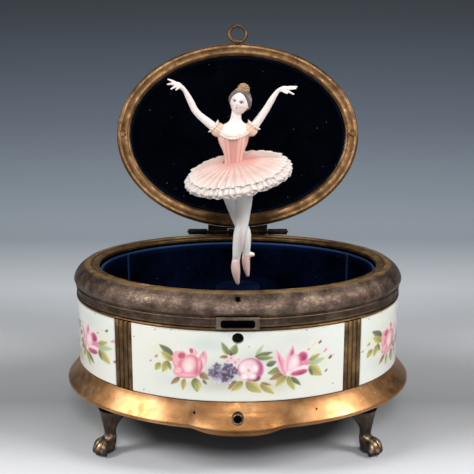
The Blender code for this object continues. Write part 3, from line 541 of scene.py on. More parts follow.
def hair():
    """Painted hair with fine brushed strands."""
    f = Finish("hair", Coat_Weight=0.2, Coat_Roughness=0.2)
    strands = f.noise(900, 4.0, (1.0, 1.0, 0.25))
    tone = f.mix(f.ramp(strands, [(0.35, 0.5), (0.6, 0.0)]), f.attribute(), rgb(62, 48, 44))
    return f.done(tone, f.ramp(strands, [(0.3, 0.32), (0.7, 0.5)]), strands, 0.06)


BRONZE = engraved_bronze()
BRASS = satin_brass()
ANTIQUE = antique_brass()
REEDED = antique_brass("reeded_brass", (70, 52, 36), (112, 88, 60), (158, 128, 88))
DARK = dark_bronze()
ENAMEL = painted_enamel()
VELVET = velvet()
# a darker copy of the velvet for the lid: painted shade
SHADED_LID_VELVET = velvet("lid_velvet_painted_shade", (1, 2, 4), (4, 6, 13))
STEEL = steel()
# bronze for the hinge, darkened as painted shade
SHADED_HINGES = antique_brass("hinge_bronze_painted_shade", (24, 18, 14), (46, 36, 28), (86, 68, 52))
WORN = antique_brass("worn_brass", (104, 76, 46), (152, 118, 78), (204, 170, 124))
PLATE = antique_brass("catch_plate", (84, 72, 62), (122, 108, 94), (164, 148, 132))
# near-black bronze for parts seen down the holes: painted shade
HOLE_SHADE = antique_brass("bronze_in_hole_shade", (8, 6, 5), (16, 13, 11), (30, 25, 21))
PORCELAIN = porcelain()
LACE = lace()
HAIR = hair()


def dressed(finish, *nodes, bevel=0.0):
    """Carry CAD nodes over with a finish and, where asked, softened edges."""
    for name in nodes:
        node = frame["nodes"][name]
        node.data.materials.clear()
        node.data.materials.append(finish)
        if bevel:
            soft = node.modifiers.new("soft_edges", "BEVEL")
            soft.width = bevel * MM
            soft.segments = 2
            soft.limit_method = "ANGLE"
            soft.angle_limit = math.radians(40.0)
            soft.use_clamp_overlap = True


# The case


def masked(made, name, mask):
    """A value at each point that a finish reads under this name, from 0 to 1."""
    return painted(made, np.repeat(np.asarray(mask, float)[:, None], 3, 1), name)


def lumps(points, size, seed):
    """A smooth random value from 0 to 1 at each point, over lumps of this size."""
    value = np.zeros(len(points))
    angles = np.random.default_rng(seed)
    for _ in range(7):
        way = angles.normal(size=3)
        way /= np.linalg.norm(way)
        value += np.sin(points @ way * TAU / size * angles.uniform(0.6, 1.5) + angles.uniform(0, TAU))
    return unit(0.5 + value / 7.0)


def make_collar():
    bulge = spline(
        [(84.4, RIM + 0.7), (85.2, RIM + 0.1), (87.0, RIM - 1.3), (88.9, RIM - 3.6), (90.0, RIM - 6.6),
        (89.2, RIM - 8.7)],
        5,
    )
    profile = [(80.6, RIM - 2.2), (80.6, RIM + 0.5), (80.9, RIM + 0.9), (81.8, RIM + 1.15),
        (83.4, RIM + 1.05)]
    profile += bulge.tolist()
    profile += [(88.2, RIM - 9.5), (88.3, RIM - 9.9), (88.8, RIM - 10.1), (89.0, RIM - 10.5),
        (88.7, RIM - 10.9)]
    profile += [(88.5, RIM - 11.3), (88.5, BAND_LOW + 1.0), (88.9, BAND_LOW + 0.7), (88.8, BAND_LOW + 0.1)]
    profile += [(88.4, BAND_LOW), (85.0, BAND_LOW), (85.0, RIM - 3.0)]
    made = piece("collar", oval_ring(profile, 320), "case", BRONZE, ["collar_rim"])
    face = -(SHORT + 88.9 - LONG)
    slot = moved(slab(8.3, 2.1, 1.4, [(face - 4.0, 0.0), (face + 3.1, 0.0)]),
        Matrix.Translation((0.0, 0.0, SLOT_Z)))
    drilled(made, [bore((0.0, -82.0, RIM - 1.2), (0.0, -60.0, RIM - 1.2), 1.0), slot])
    at = places(made)
    patchy = 0.35 + 0.65 * lumps(at, 9.0, 3)
    crown = bell(at[:, 2] - RIM - 0.95, 0.35) * (at[:, 2] > RIM + 0.4)
    groove = bell(at[:, 2] - RIM + 10.5, 0.3)
    foot = bell(at[:, 2] - BAND_LOW - 0.5, 0.35) * 0.6
    # worn brass along the crown, the fillet below the bulge and the foot, brightened also as a painted
    # highlight on these edges
    masked(made, "wear_and_highlight", unit(0.75 * crown + 0.55 * groove + foot) * patchy)
    # painted shade: the vertical band darkened, and the slot's pocket and the pin hole near black
    pocket = (np.abs(at[:, 0]) < 8.4) & (at[:, 1] < 0) & (at[:,
        1] > face + 0.2) & (np.abs(at[:, 2] - SLOT_Z) < 2.3)
    pin = (np.abs(at[:, 0]) < 1.05) & (at[:, 1] < 0) & (np.abs(at[:, 2] - RIM + 1.2) < 1.05)
    band = 0.55 * unit((RIM - 9.0 - at[:, 2]) / 1.5)
    masked(made, "shade", np.where(pocket | pin, 1.0, band))


def make_bezel():
    """The sloped brass rebate and the bright bead round the opening."""
    profile = [(80.3, RIM - 2.0), (80.3, RIM + 0.5), (79.4, RIM + 0.3), (78.4, RIM - 0.2),
        (77.7, RIM - 0.35)]
    profile += [(77.5, RIM - 0.1), (77.1, RIM + 0.15), (76.6, RIM + 0.15), (76.2, RIM - 0.25),
        (76.2, RIM - 1.3)]
    profile += [(77.2, RIM - 2.0)]
    piece("opening_bead", oval_ring(profile, 320), "case", WORN, ["inner_bezel"])
    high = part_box("upper_bead")[1].z / MM
    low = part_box("upper_bead")[0].z / MM
    middle = (high + low) / 2
    profile = [(86.8, low), (87.9, low), (88.6, low + 0.2), (89.0, middle), (88.6, high - 0.2),
        (87.9, high), (86.8, high)]
    piece("enamel_bead", oval_ring(profile, 320), "case", ANTIQUE, ["upper_bead"])


def make_pilasters():
    """Four half-round reeds between two fillets, on each corner's facet."""
    half = 5.6
    outline = [(-half, 0.0), (-half, 1.0)]
    for reed in range(4):
        middle = -half + 2.8 * (reed + 0.5)
        for turn in np.linspace(math.pi * 0.93, math.pi * 0.07, 9):
            outline.append((middle + 1.34 * math.cos(turn), 1.05 + 1.25 * math.sin(turn)))
    outline += [(half, 1.0), (half, 0.0)]
    outline = np.array(outline)
    low, high = ENAMEL_LOW, ENAMEL_HIGH
    heights = [(low, 0.7), (low + 0.5, 1.0), (high - 0.5, 1.0), (high, 0.7)]
    step = math.radians(3.75)
    corners = {"front_right": -48.75, "front_left": -131.25, "back_right": 48.75, "back_left": 131.25}
    for corner, degrees in corners.items():
        x, y = oval(86.7, math.radians(degrees) + np.array([-step, step]))
        along = np.array([x[1] - x[0], y[1] - y[0]]) / math.hypot(x[1] - x[0], y[1] - y[0])
        out = np.array([along[1], -along[0]])
        middle = np.array([x.mean(), y.mean()])
        rows = []
        for z, thick in heights:
            flat = middle + outline[:, :1] * along + outline[:, 1:] * thick * out
            rows.append(np.column_stack([flat, np.full(len(flat), z)]))
        shape = skin(np.array(rows), around=True, caps=True)
        name = f"pilaster_{corner}"
        piece(f"reeded_{corner}", shape, "case", REEDED, [name], 50.0)


def apron(x):
    """How far the skirt's lower edge hangs down at this distance from the middle."""
    deepest, half_width = 3.4, 22.0
    return deepest * np.maximum(0.0, 1.0 - (np.abs(x) / half_width) ** 3)


def make_skirt():
    top, low = SKIRT_HIGH, 26.2
    profile = spline([(88.2, top), (89.2, top - 1.7), (91.0, top - 4.2), (93.4, top - 7.2),
        (95.0, low + 1.9)], 4).tolist()
    profile += [(95.4, low + 1.3), (95.4, low + 0.5), (95.1, low + 0.1), (94.6, low), (94.0, low + 0.1)]
    profile += [(93.7, low + 1.0), (88.8, top - 4.2), (86.8, top - 1.6), (86.8, top)]
    points, faces = oval_ring(profile, 320)
    share = unit((top - 5.0 - points[:, 2]) / (top - 5.0 - low))
    points[:, 2] -= apron(points[:, 0]) * share
    made = piece("skirt", (points, faces), "case", BRASS, ["base_skirt"])
    holes = [bore((0.0, -90.0, WINDING_Z), (0.0, -60.0, WINDING_Z), 2.95)]
    holes += [bore((-21.0, -90.0, 32.6), (-21.0, -62.0, 32.6), 0.6),
        bore((38.5, -90.0, 32.4), (38.5, -50.0, 32.4), 0.5)]
    drilled(made, holes)
    at = places(made)
    # painted shade: the front middle of the skirt darkened
    front_shade = 0.66 * np.exp(-(((at[:, 0] - 6.0) / 40.0) ** 4)) * (at[:, 1] < 0)
    masked(made, "shade", front_shade * (0.8 + 0.4 * lumps(at, 22.0, 9)))
    dressed(PLATE, "winding_escutcheon", bevel=0.25)


def make_feet():
    """Stout cabriole feet, each on a clawed paw."""
    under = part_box("foot_front_left")[1].z / MM
    corners = {"front_left": (-1, -1), "front_right": (1, -1), "back_left": (-1, 1), "back_right": (1, 1)}
    for corner, (side_x, side_y) in corners.items():
        leg = [
            (1.4, 0.0, under + 1.0, 7.9), (2.2, 0.0, under - 2.0, 7.2), (3.2, 0.0, under - 5.6, 5.2),
            (3.8, 0.0, under - 9.4, 3.7), (3.9, 0.0, under - 12.6, 3.0), (3.9, 0.0, 8.2, 3.2),
            (4.8, 0.0, 5.4, 3.8), (6.2, 0.0, 3.8, 3.7),
        ]
        parts = [tube(leg, 28, 5), ellipsoid((4.6, 3.9, 3.5), (6.0, 0.0, 3.4), 28, 18)]
        parts.append(ring_of(3.0, 0.75, (4.8, 0.0, 8.9), Matrix.Rotation(0.55, 4, "Y"), 32, 10))
        for lean, reach in ((-0.46, 10.7), (-0.15, 11.6), (0.15, 11.6), (0.46, 10.7)):
            way = (math.cos(lean), math.sin(lean))
            toe = [
                (5.0, 1.4 * way[1], 7.4, 1.3),
                (5.0 + 0.5 * (reach - 5.0) * way[0], 0.5 * reach * way[1], 6.6, 1.6),
                (5.0 + 0.85 * (reach - 5.0) * way[0], 0.8 * reach * way[1], 4.8, 1.75),
                (reach * way[0] + 0.3, 0.9 * reach * way[1], 2.4, 1.6),
                (reach * way[0] - 0.7, 0.84 * reach * way[1], 1.2, 1.1),
            ]
            parts.append(tube(toe, 14, 4))
        for side in (-1, 1):
            scroll = [(4.6, side * 5.6, under - 1.4, 1.0), (5.4, side * 4.2, under - 5.4, 0.95),
                (5.2, side * 2.6, under - 9.4, 0.7)]
            parts.append(tube(scroll, 12))
        facing = math.atan2(side_y * 42.0, side_x * 62.0)
        place = Matrix.Translation((side_x * FOOT_X, side_y * FOOT_Y, 0.0)) @ Matrix.Rotation(facing, 4,
            "Z")
        node = f"foot_{corner}"
        made = piece(f"paw_{corner}", moved(merged(*parts), place), "case", DARK, [node])
        melted(made, 0.34, 3)
        for vertex in made.data.vertices:
            vertex.co.z = min(max(vertex.co.z, 0.0), under * MM)
        at = places(made)
        local = (at - np.array([side_x * FOOT_X, side_y * FOOT_Y, 0.0])) @ np.array(Matrix.Rotation(facing,
            3, "Z"))
        # rubbed bronze on the toes and the cuff, brightened also as a painted highlight
        toes = unit((local[:, 0] - 6.5) / 3.0) * unit((at[:, 2] - 2.2) / 2.5) * (at[:, 2] < 9.5)
        cuff = bell(at[:, 2] - 9.2, 1.2) * unit(local[:, 0] / 3.0)
        masked(made, "wear_and_highlight", (0.1 + 0.9 * lumps(at, 3.4, 11) ** 2) * unit(toes + 0.8 * cuff) * 0.9)
        made.data.shade_smooth()


# Painted flowers


class Painting:
    """Colours laid stroke over stroke on points u, v, in millimetres."""

    def __init__(self, u, v, ground):
        self.u, self.v = u, v
        self.x, self.y = 0.0, 0.0
        self.colour = np.tile(ground, (len(u), 1))

    def move(self, x, y):
        """Measure the strokes that follow from this point."""
        self.x, self.y = x, y

    def lay(self, mask, colour):
        self.colour += (colour - self.colour) * unit(mask)[:, None]

    def local(self, x, y, angle):
        u, v = self.u - (x + self.x), self.v - (y + self.y)
        return u * math.cos(angle) + v * math.sin(angle), v * math.cos(angle) - u * math.sin(angle)

    def blob(self, x, y, long, wide, angle, colour, edge=0.35, strength=1.0):
        a, b = self.local(x, y, angle)
        self.lay((1.0 - np.hypot(a / long, b / wide)) / edge * strength, colour)

    def haze(self, x, y, long, wide, colour, strength):
        a, b = self.local(x, y, 0.0)
        self.lay(bell(a, long, b, wide) * strength, colour)

    def petal(self, x, y, tip_x, tip_y, wide, base, tip, rim=None):
        """A petal or leaf from its base to its tip, shaded along and across."""
        length = math.hypot(tip_x - x, tip_y - y)
        a, b = self.local(x, y, math.atan2(tip_y - y, tip_x - x))
        t = unit(a / length)
        half = wide * np.sin(math.pi * t**0.75) ** 0.85 + 1e-6
        inside = unit((half - np.abs(b)) / 0.45) * (a > 0) * (a < length)
        self.lay(inside, base + (tip - base) * t[:, None])
        if rim is not None:
            self.lay(inside * unit(b / half) ** 1.5 * 0.8, rim)

    def leaf(self, x, y, tip_x, tip_y, wide=1.7, tone="green"):
        tones = {
            "green": (rgb(98, 106, 58), rgb(150, 156, 92), rgb(194, 198, 138)),
            "dark": (rgb(76, 82, 54), rgb(116, 122, 80), rgb(164, 168, 124)),
            "yellow": (rgb(138, 126, 58), rgb(196, 188, 104), rgb(230, 224, 158)),
            "pale": (rgb(150, 166, 128), rgb(198, 208, 168), rgb(222, 226, 200)),
            "brown": (rgb(122, 86, 56), rgb(176, 144, 92), rgb(212, 188, 134)),
        }[tone]
        self.petal(x, y, tip_x, tip_y, wide, *tones)
        self.vein(x, y, tip_x, tip_y, tones[0])

    def vein(self, x, y, tip_x, tip_y, colour, wide=0.22, strength=0.7):
        length = math.hypot(tip_x - x, tip_y - y)
        a, b = self.local(x, y, math.atan2(tip_y - y, tip_x - x))
        inside = unit((wide - np.abs(b)) / 0.2) * (a > 0) * (a < length * 0.9)
        self.lay(inside * strength, colour)

    def stroke(self, path, wide, colour, strength=1.0, soft=0.25):
        """A brush stroke along the spline through path, thinner at both ends."""
        line = spline(path, 6) + np.array([self.x, self.y])
        best = np.full(len(self.u), 1e9)
        for number, (x, y) in enumerate(line):
            share = number / (len(line) - 1)
            half = wide * (0.35 + 0.65 * math.sin(math.pi * share))
            best = np.minimum(best, np.hypot(self.u - x, self.v - y) - half)
        self.lay(unit(-best / soft) * strength, colour)

    def left_rose(self):
        """A cupped rose open to the upper left, with pointed petals at the right."""
        wine, deep, rich = rgb(150, 44, 72), rgb(196, 78, 108), rgb(224, 128, 146)
        soft, pale = rgb(238, 172, 178), rgb(248, 216, 214)
        self.petal(5.0, -2.0, 7.9, 8.2, 2.3, rich, soft, pale)
        self.petal(4.0, -1.0, 7.2, 8.4, 1.5, deep, rich, pale)
        self.blob(6.6, 1.8, 1.7, 4.6, 0.15, rgb(240, 200, 210), 0.5, 0.8)
        self.petal(1.2, 2.0, 2.6, 9.8, 1.8, rich, pale, soft)
        self.blob(0.9, 7.4, 1.25, 1.6, 0.2, deep, 0.4)
        self.stroke([(2.2, 8.6), (3.4, 6.8), (4.2, 5.2)], 0.35, wine, 0.6)
        self.blob(-5.6, 1.6, 3.2, 5.4, 0.1, rich, 0.25)
        self.blob(-5.9, 2.2, 2.7, 4.8, 0.1, soft, 0.4)
        self.blob(0.4, -0.4, 6.4, 6.2, 0.0, rich, 0.14)
        self.blob(4.2, -0.4, 2.3, 5.2, -0.25, deep, 0.7, 0.75)
        self.blob(4.6, 0.8, 1.5, 4.4, -0.15, soft, 0.6, 0.7)
        self.blob(-3.8, 4.8, 2.9, 2.5, 0.5, soft, 0.3)
        self.blob(-3.8, 4.5, 2.3, 1.9, 0.5, deep, 0.35)
        self.blob(-4.2, 4.4, 1.4, 1.1, 0.5, wine, 0.7, 0.7)
        self.stroke([(-5.4, 3.4), (-4.4, 5.4), (-2.6, 5.6)], 0.28, rich, 0.8)
        self.stroke([(-5.0, 2.6), (-3.8, 4.2), (-2.4, 4.4)], 0.25, soft, 0.7)
        self.blob(-0.4, -0.2, 3.9, 5.4, -0.35, rgb(236, 186, 192), 0.4)
        self.blob(-0.7, 0.1, 3.1, 4.6, -0.4, pale, 0.8)
        self.blob(-0.4, -1.4, 1.9, 2.7, -0.3, rgb(250, 232, 226), 0.9, 0.8)
        self.stroke([(1.8, 5.6), (3.5, 2.6), (3.9, -1.4), (2.8, -4.6)], 0.36, wine, 0.7)
        self.stroke([(-6.2, 3.0), (-5.4, -0.4), (-3.6, -3.6)], 0.3, deep, 0.7)
        self.stroke([(5.4, 4.2), (5.9, 0.0), (4.6, -4.2)], 0.4, wine, 0.6)
        self.blob(-5.6, -3.4, 3.1, 2.6, 0.5, rich, 0.3)
        self.blob(-5.7, -3.2, 2.7, 2.1, 0.5, rgb(244, 190, 190), 0.6)
        self.blob(-1.2, -5.4, 5.8, 1.7, 0.05, rich, 0.35)
        self.blob(-1.6, -5.1, 5.2, 1.2, 0.05, soft, 0.5)
        self.stroke([(-8.6, -5.4), (-5.0, -4.4), (-1.0, -4.0), (4.0, -4.4)], 0.26, deep, 0.8)
        self.stroke([(-8.8, -5.6), (-6.4, -6.4), (-3.4, -6.8), (1.0, -6.6)], 0.3, wine, 0.65)
        self.stroke([(-7.4, -1.6), (-6.2, -2.8), (-4.6, -3.4)], 0.24, wine, 0.5)

    def right_rose(self):
        """A cupped rose open to the upper right, on a folded magenta petal."""
        wine, deep, rich = rgb(146, 36, 92), rgb(194, 70, 118), rgb(226, 132, 158)
        soft, pale = rgb(242, 180, 192), rgb(250, 222, 224)
        self.petal(-3.4, -5.0, -8.4, 9.4, 2.2, rich, soft, pale)
        self.stroke([(-6.9, 7.0), (-6.2, 3.0), (-4.2, -2.2)], 0.55, deep, 0.75)
        self.petal(-3.2, -3.6, 0.4, 10.6, 2.4, soft, rich, pale)
        self.blob(-0.2, 6.4, 1.2, 2.4, -0.3, deep, 0.6, 0.75)
        self.blob(3.4, 0.6, 5.2, 5.2, 0.0, rich, 0.16)
        self.blob(5.2, 4.2, 3.1, 3.2, 0.0, soft, 0.2)
        self.blob(5.0, 3.9, 2.7, 2.8, 0.0, deep, 0.3)
        self.blob(5.6, 3.4, 1.5, 2.0, 0.2, wine, 0.6, 0.8)
        for dx in (-1.4, -0.4, 0.7):
            self.stroke([(4.8 + dx, 6.0), (5.2 + dx, 3.8), (5.0 + dx, 1.8)], 0.16, rich, 0.7)
        self.stroke([(2.6, 5.8), (5.0, 7.2), (7.6, 5.6), (7.9, 2.6)], 0.42, pale, 0.8)
        self.blob(0.6, 0.8, 3.5, 5.5, -0.2, rgb(238, 190, 204), 0.35)
        self.blob(0.4, 0.9, 2.8, 4.8, -0.2, pale, 0.8)
        self.blob(1.0, 2.0, 1.7, 2.6, -0.1, rgb(252, 236, 234), 0.9, 0.8)
        self.stroke([(-0.6, 6.2), (-2.2, 1.4), (-2.6, -3.8)], 0.34, deep, 0.75)
        self.stroke([(2.2, 5.0), (3.8, 1.8), (4.4, -1.0)], 0.34, deep, 0.7)
        self.blob(4.2, -2.4, 4.6, 1.9, 0.28, pale, 0.3)
        self.blob(3.4, -4.0, 5.0, 1.7, 0.14, deep, 0.3)
        self.blob(4.4, -4.6, 2.8, 0.9, 0.1, wine, 0.7, 0.8)
        self.stroke([(-1.4, -4.2), (3.0, -3.0), (8.2, -1.8)], 0.4, soft, 0.85)
        self.stroke([(-1.4, -4.8), (2.4, -6.0), (6.6, -5.2)], 0.26, soft, 0.8)

    def round_rose(self):
        """A full pale rose, magenta in its shade, with a small russet heart."""
        wine, mauve, pale, milk = rgb(136, 32, 74), rgb(196, 104, 144), rgb(240, 208, 216), rgb(250, 236,
            232)
        self.blob(0.0, 0.0, 6.7, 6.3, 0.0, mauve, 0.12)
        self.blob(4.2, 0.4, 2.2, 4.6, 0.1, rgb(188, 86, 134), 0.5)
        self.blob(2.7, -4.7, 2.7, 1.7, 0.25, wine, 0.35)
        self.stroke([(5.6, 3.4), (6.2, -0.2), (5.0, -3.6)], 0.4, rgb(226, 160, 190), 0.7)
        self.stroke([(4.4, 4.6), (4.9, 0.6), (4.0, -2.8)], 0.3, wine, 0.5)
        self.blob(-1.2, 3.3, 4.6, 2.5, 0.1, rgb(226, 176, 196), 0.4)
        self.blob(-1.4, 3.0, 4.0, 1.9, 0.1, pale, 0.6)
        petals = ((-3.6, 0.4, 2.6, 3.4, 0.1), (1.9, 0.4, 2.4, 3.2, -0.1), (-2.6, -3.4, 3.2, 2.4, 0.5),
            (0.7, -3.4, 2.7, 2.1, -0.3))
        for dx, dy, long, wide, angle in (*petals, (-0.9, -0.4, 3.0, 3.0, 0.0)):
            self.blob(dx, dy, long + 0.2, wide + 0.2, angle, rgb(218, 164, 186), 0.5, 0.55)
            self.blob(dx, dy + 0.15, long, wide, angle, milk, 0.7)
        self.blob(-0.9, -0.4, 1.4, 1.5, 0.4, rgb(214, 150, 140), 0.7, 0.8)
        for turn in range(6):
            a = TAU * turn / 6 + 0.3
            tip = (-0.9 + 1.5 * math.cos(a), -0.4 + 1.5 * math.sin(a))
            self.stroke([(-0.9, -0.4), tip], 0.18, rgb(150, 76, 70), 0.7)
        self.stroke([(-6.2, -1.6), (-4.8, -4.6), (-1.8, -6.2)], 0.3, mauve, 0.8)

    def violets(self):
        """Purple-grey violets with pale lower petals and ink-dark throats."""
        ink, plum, blue = rgb(60, 44, 76), rgb(96, 76, 118), rgb(126, 116, 158)
        grey, lilac, milk = rgb(150, 144, 158), rgb(196, 186, 212), rgb(236, 228, 240)
        self.haze(-7.6, -3.6, 6.4, 4.6, rgb(104, 90, 112), 0.85)
        flowers = (
            (-12.0, -3.0, 3.2, 1.2, grey, grey), (-9.9, 0.2, 2.6, 0.5, blue, grey),
            (-4.6, -0.6, 3.6, 0.9, blue, plum), (-5.2, -5.0, 3.7, 0.2, plum, ink),
            (-1.6, -1.8, 2.6, 1.6, blue, plum), (-10.2, -4.2, 3.4, 0.75, plum, blue),
        )
        for x, y, size, turned, first, second in flowers:
            for turn in range(5):
                a = turned + TAU * turn / 5
                tone = first if turn % 2 else second
                tip = (x + size * math.cos(a), y + size * math.sin(a))
                self.petal(x, y, tip[0], tip[1], size * 0.46, ink, tone, lilac)
                self.stroke([(x, y), ((x + tip[0]) / 2, (y + tip[1]) / 2)], 0.16, ink, 0.7)
            self.blob(x, y, 0.55, 0.5, 0.0, rgb(206, 168, 90), 0.6, 0.8)
        for x, y, tip_x, tip_y in ((-10.6, -4.4, -11.5, -8.8), (-9.9, -4.4, -8.7, -8.8),
            (-4.6, -5.6, -3.4, -8.6)):
            self.petal(x, y, tip_x, tip_y, 1.25, plum, milk, lilac)
            self.stroke([(x, y), ((x * 2 + tip_x) / 3, (y * 2 + tip_y) / 3)], 0.16, ink, 0.7)
        self.stroke([(-8.2, -1.6), (-7.4, -3.4), (-7.6, -6.4)], 0.34, ink, 0.7)
        self.stroke([(-14.6, -1.0), (-13.0, -0.2), (-11.6, -1.4)], 0.24, ink, 0.5)

    def bud(self, x, y, size, tone):
        self.blob(x, y, size, size * 0.7, 0.8, tone, 0.5, 0.9)
        self.blob(x - size * 0.3, y + size * 0.3, size * 0.45, size * 0.3, 0.8, rgb(250, 232, 226), 0.6,
            0.7)

    def spray(self):
        """Two roses at the sides, violets and a pale rose between them, and leaves."""
        for haze in (
            (-2, -1, 40, 15, rgb(222, 220, 204), 0.6), (-14, 11, 9, 3.4, rgb(190, 206, 200), 0.55),
            (12, 4, 10, 5, rgb(182, 192, 172), 0.5), (28, 13, 9, 4, rgb(204, 212, 206), 0.5),
            (-12, -10, 16, 3, rgb(186, 184, 160), 0.5), (16, -10, 10, 3.4, rgb(190, 184, 156), 0.55),
            (-35, -8, 6, 4, rgb(206, 212, 204), 0.4), (-37, 4, 6, 5, rgb(222, 220, 180), 0.5),
            (38, 0, 6, 6, rgb(216, 222, 190), 0.5),
        ):
            self.haze(*haze)
        twig = rgb(110, 96, 62)
        for path in (
            [(-32, 0.4), (-36, 0.8), (-42.5, 0.2)], [(-38.4, 0.9), (-40.2, 3.4)],
            [(34.6, 5.6), (36.5, 8.8), (39.6, 10.4)], [(35, 1.0), (40, 3.4), (42.8, 5.4)],
            [(35.4, -0.6), (40, 0.6), (45, 1.6)], [(36, -2.4), (40, -4.4), (43, -5.0)],
        ):
            self.stroke(path, 0.22, twig, 0.5)
        for path in (
            [(-24.6, 12.6), (-27.2, 15.0)], [(-30.0, 7.4), (-29.6, 10.6), (-27.0, 13.0)],
            [(5.3, 6.4), (5.3, 10.2)], [(8.3, 5.6), (10.6, 8.6), (11.4, 12.0)], [(31.5, 9.4), (34.6, 13.0)],
        ):
            self.stroke(path, 0.22, rgb(122, 108, 84), 0.5)
        leaves = (
            (-31.0, 4.4, -38.4, 9.4, 2.0, "dark"), (-31.4, 1.6, -37.6, 5.8, 2.1, "yellow"),
            (-33.6, 1.4, -36.8, -5.2, 2.1, "yellow"), (-37.6, -0.2, -40.6, -4.6, 1.8, "yellow"),
            (-33.6, 1.0, -32.4, -3.6, 1.2, "green"), (-28.0, -6.4, -33.0, -10.8, 1.5, "brown"),
            (-25.8, -6.8, -26.8, -13.4, 1.6, "yellow"), (-20.6, -6.0, -19.6, -13.6, 2.6, "green"),
            (-20.0, -7.6, -19.2, -13.0, 1.6, "yellow"), (-18.6, -3.4, -13.6, -6.6, 2.1, "brown"),
            (-17.0, -6.8, -14.6, -9.4, 1.0, "dark"), (-4.4, 6.2, -8.0, 13.0, 1.7, "green"),
            (-2.8, 6.2, -0.6, 12.0, 2.2, "green"), (-4.6, 5.4, -9.2, 5.0, 1.2, "brown"),
            (-3.0, 5.4, -4.2, 9.2, 1.1, "dark"), (8.0, 5.2, 17.2, 7.4, 1.5, "dark"),
            (8.8, 4.6, 17.6, 4.4, 1.5, "green"), (13.6, 0.6, 19.0, 2.6, 1.7, "dark"),
            (8.4, 5.8, 12.6, 11.6, 1.2, "pale"), (-0.6, -6.8, -5.0, -11.6, 1.7, "brown"),
            (2.6, -7.2, -3.6, -12.4, 2.2, "yellow"), (3.8, -7.4, 11.6, -13.2, 2.9, "yellow"),
            (10.6, -8.8, 18.0, -14.4, 1.9, "yellow"), (11.0, -8.0, 16.6, -9.6, 1.0, "brown"),
            (22.6, -2.0, 13.8, -3.4, 2.4, "green"), (22.4, -4.2, 14.6, -6.8, 1.9, "brown"),
            (23.6, -5.2, 17.8, -10.6, 2.2, "yellow"), (24.2, -5.4, 27.6, -13.4, 2.1, "yellow"),
            (25.6, -6.0, 31.0, -11.2, 1.4, "dark"), (34.0, 0.0, 43.0, 1.6, 2.0, "pale"),
            (34.2, 1.4, 40.4, 4.4, 1.5, "yellow"), (34.4, -1.4, 41.4, -7.4, 2.8, "yellow"),
            (35.0, -2.6, 36.4, -7.0, 1.2, "dark"),
        )
        for leaf in leaves:
            self.leaf(*leaf)
        self.move(-23.2, 0.2)
        self.left_rose()
        self.move(0.0, 0.0)
        self.violets()
        for x, y, size in ((-3.2, 4.6, 2.0), (-1.2, 2.6, 1.9), (-4.8, 3.2, 1.6), (0.4, 4.0, 1.2)):
            for turn in range(5):
                a = TAU * turn / 5 + x
                place = (x + size * 0.5 * math.cos(a), y + size * 0.5 * math.sin(a))
                self.blob(*place, size * 0.5, size * 0.36, a, rgb(240, 188, 200), 0.5)
            self.blob(x, y, size * 0.25, size * 0.25, 0.0, rgb(150, 60, 84), 0.6)
        self.blob(-3.4, 6.4, 0.9, 0.6, 0.3, rgb(60, 34, 36), 0.5, 0.8)
        self.move(6.1, -1.2)
        self.round_rose()
        self.move(26.3, -0.2)
        self.right_rose()
        self.move(0.0, 0.0)
        for x, y, size, tone in (
            (-39.7, 3.0, 1.3, rgb(150, 128, 120)), (-42.6, 0.2, 0.8, rgb(140, 120, 84)),
            (39.8, 10.2, 1.3, rgb(86, 64, 50)), (36.6, 9.6, 1.6, rgb(236, 216, 170)),
            (34.2, 7.2, 1.0, rgb(190, 160, 110)), (42.6, 5.6, 1.5, rgb(214, 150, 170)),
            (45.2, 1.7, 1.6, rgb(124, 36, 48)), (43.2, -5.0, 1.2, rgb(122, 98, 132)),
            (5.3, 10.4, 0.7, rgb(190, 140, 120)), (47.0, 2.6, 0.7, rgb(206, 160, 180)),
        ):
            self.bud(x, y, size, tone)


CREAM = rgb(232, 230, 220)


def panel_grid(start, end, steps, rows, low, high):
    """One enamel panel: a dense, faintly domed face with a rounded edge."""
    middle = np.linspace(low + 0.35, high - 0.35, rows)
    profile = [(86.95, low + 0.02), (88.3, low + 0.02), *[(88.68, z) for z in middle], (88.3, high - 0.02),
        (86.95, high - 0.02)]
    profile = np.array(profile)
    turns = np.radians(np.concatenate([[start, start], np.linspace(start + 0.25, end - 0.25, steps),
        [end, end]]))
    radius = np.repeat(profile[None, :, 0], len(turns), 0)
    radius[0], radius[-1] = 86.95, 86.95
    radius[1], radius[-2] = np.minimum(radius[1], 88.3), np.minimum(radius[-2], 88.3)
    x, y = oval(radius, turns[:, None])
    z = np.broadcast_to(profile[None, :, 1], x.shape)
    return skin(np.stack([x, y, z], -1))


def make_enamel():
    spans = {"front": (-127.3, -52.7), "back": (52.7, 127.3), "right": (-44.8, 44.8),
        "left": (135.2, 224.8)}
    for side, (start, end) in spans.items():
        steps, rows = (400, 124) if side == "front" else (300, 96)
        shape = panel_grid(start, end, steps, rows, ENAMEL_LOW, ENAMEL_HIGH)
        node = f"enamel_{side}"
        made = piece(f"flowers_{side}", shape, "case", ENAMEL, [node], 50.0)
        if side == "front":
            drilled(made, [bore((0.0, -80.0, CATCH_Z), (0.0, -60.0, CATCH_Z), 2.8)])
        at = places(made)
        sides = {"left": -at[:, 1] - SIDE_SHIFT, "right": at[:, 1] + SIDE_SHIFT}
        across = {"front": at[:, 0], "back": -at[:, 0], **sides}[side]
        up = at[:, 2] - (ENAMEL_LOW + ENAMEL_HIGH) / 2
        art = Painting(across, up, CREAM)
        tint = lumps(at, 60.0, 5)[:, None]
        art.colour += (rgb(222, 232, 226) - CREAM) * tint * 0.8
        art.spray()
        for x, y in ((-40, 16.4), (-46.5, -15.6), (-32, 17.2), (33, 17.0), (47, -12.5), (-51, 11)):
            art.blob(x, y, 0.45, 0.35, 0.5, rgb(60, 44, 34), 0.5)
        edge = unit((np.abs(up) - 17.1) / 0.6)
        art.lay(edge * 0.5, rgb(150, 120, 84))
        painted(made, art.colour)


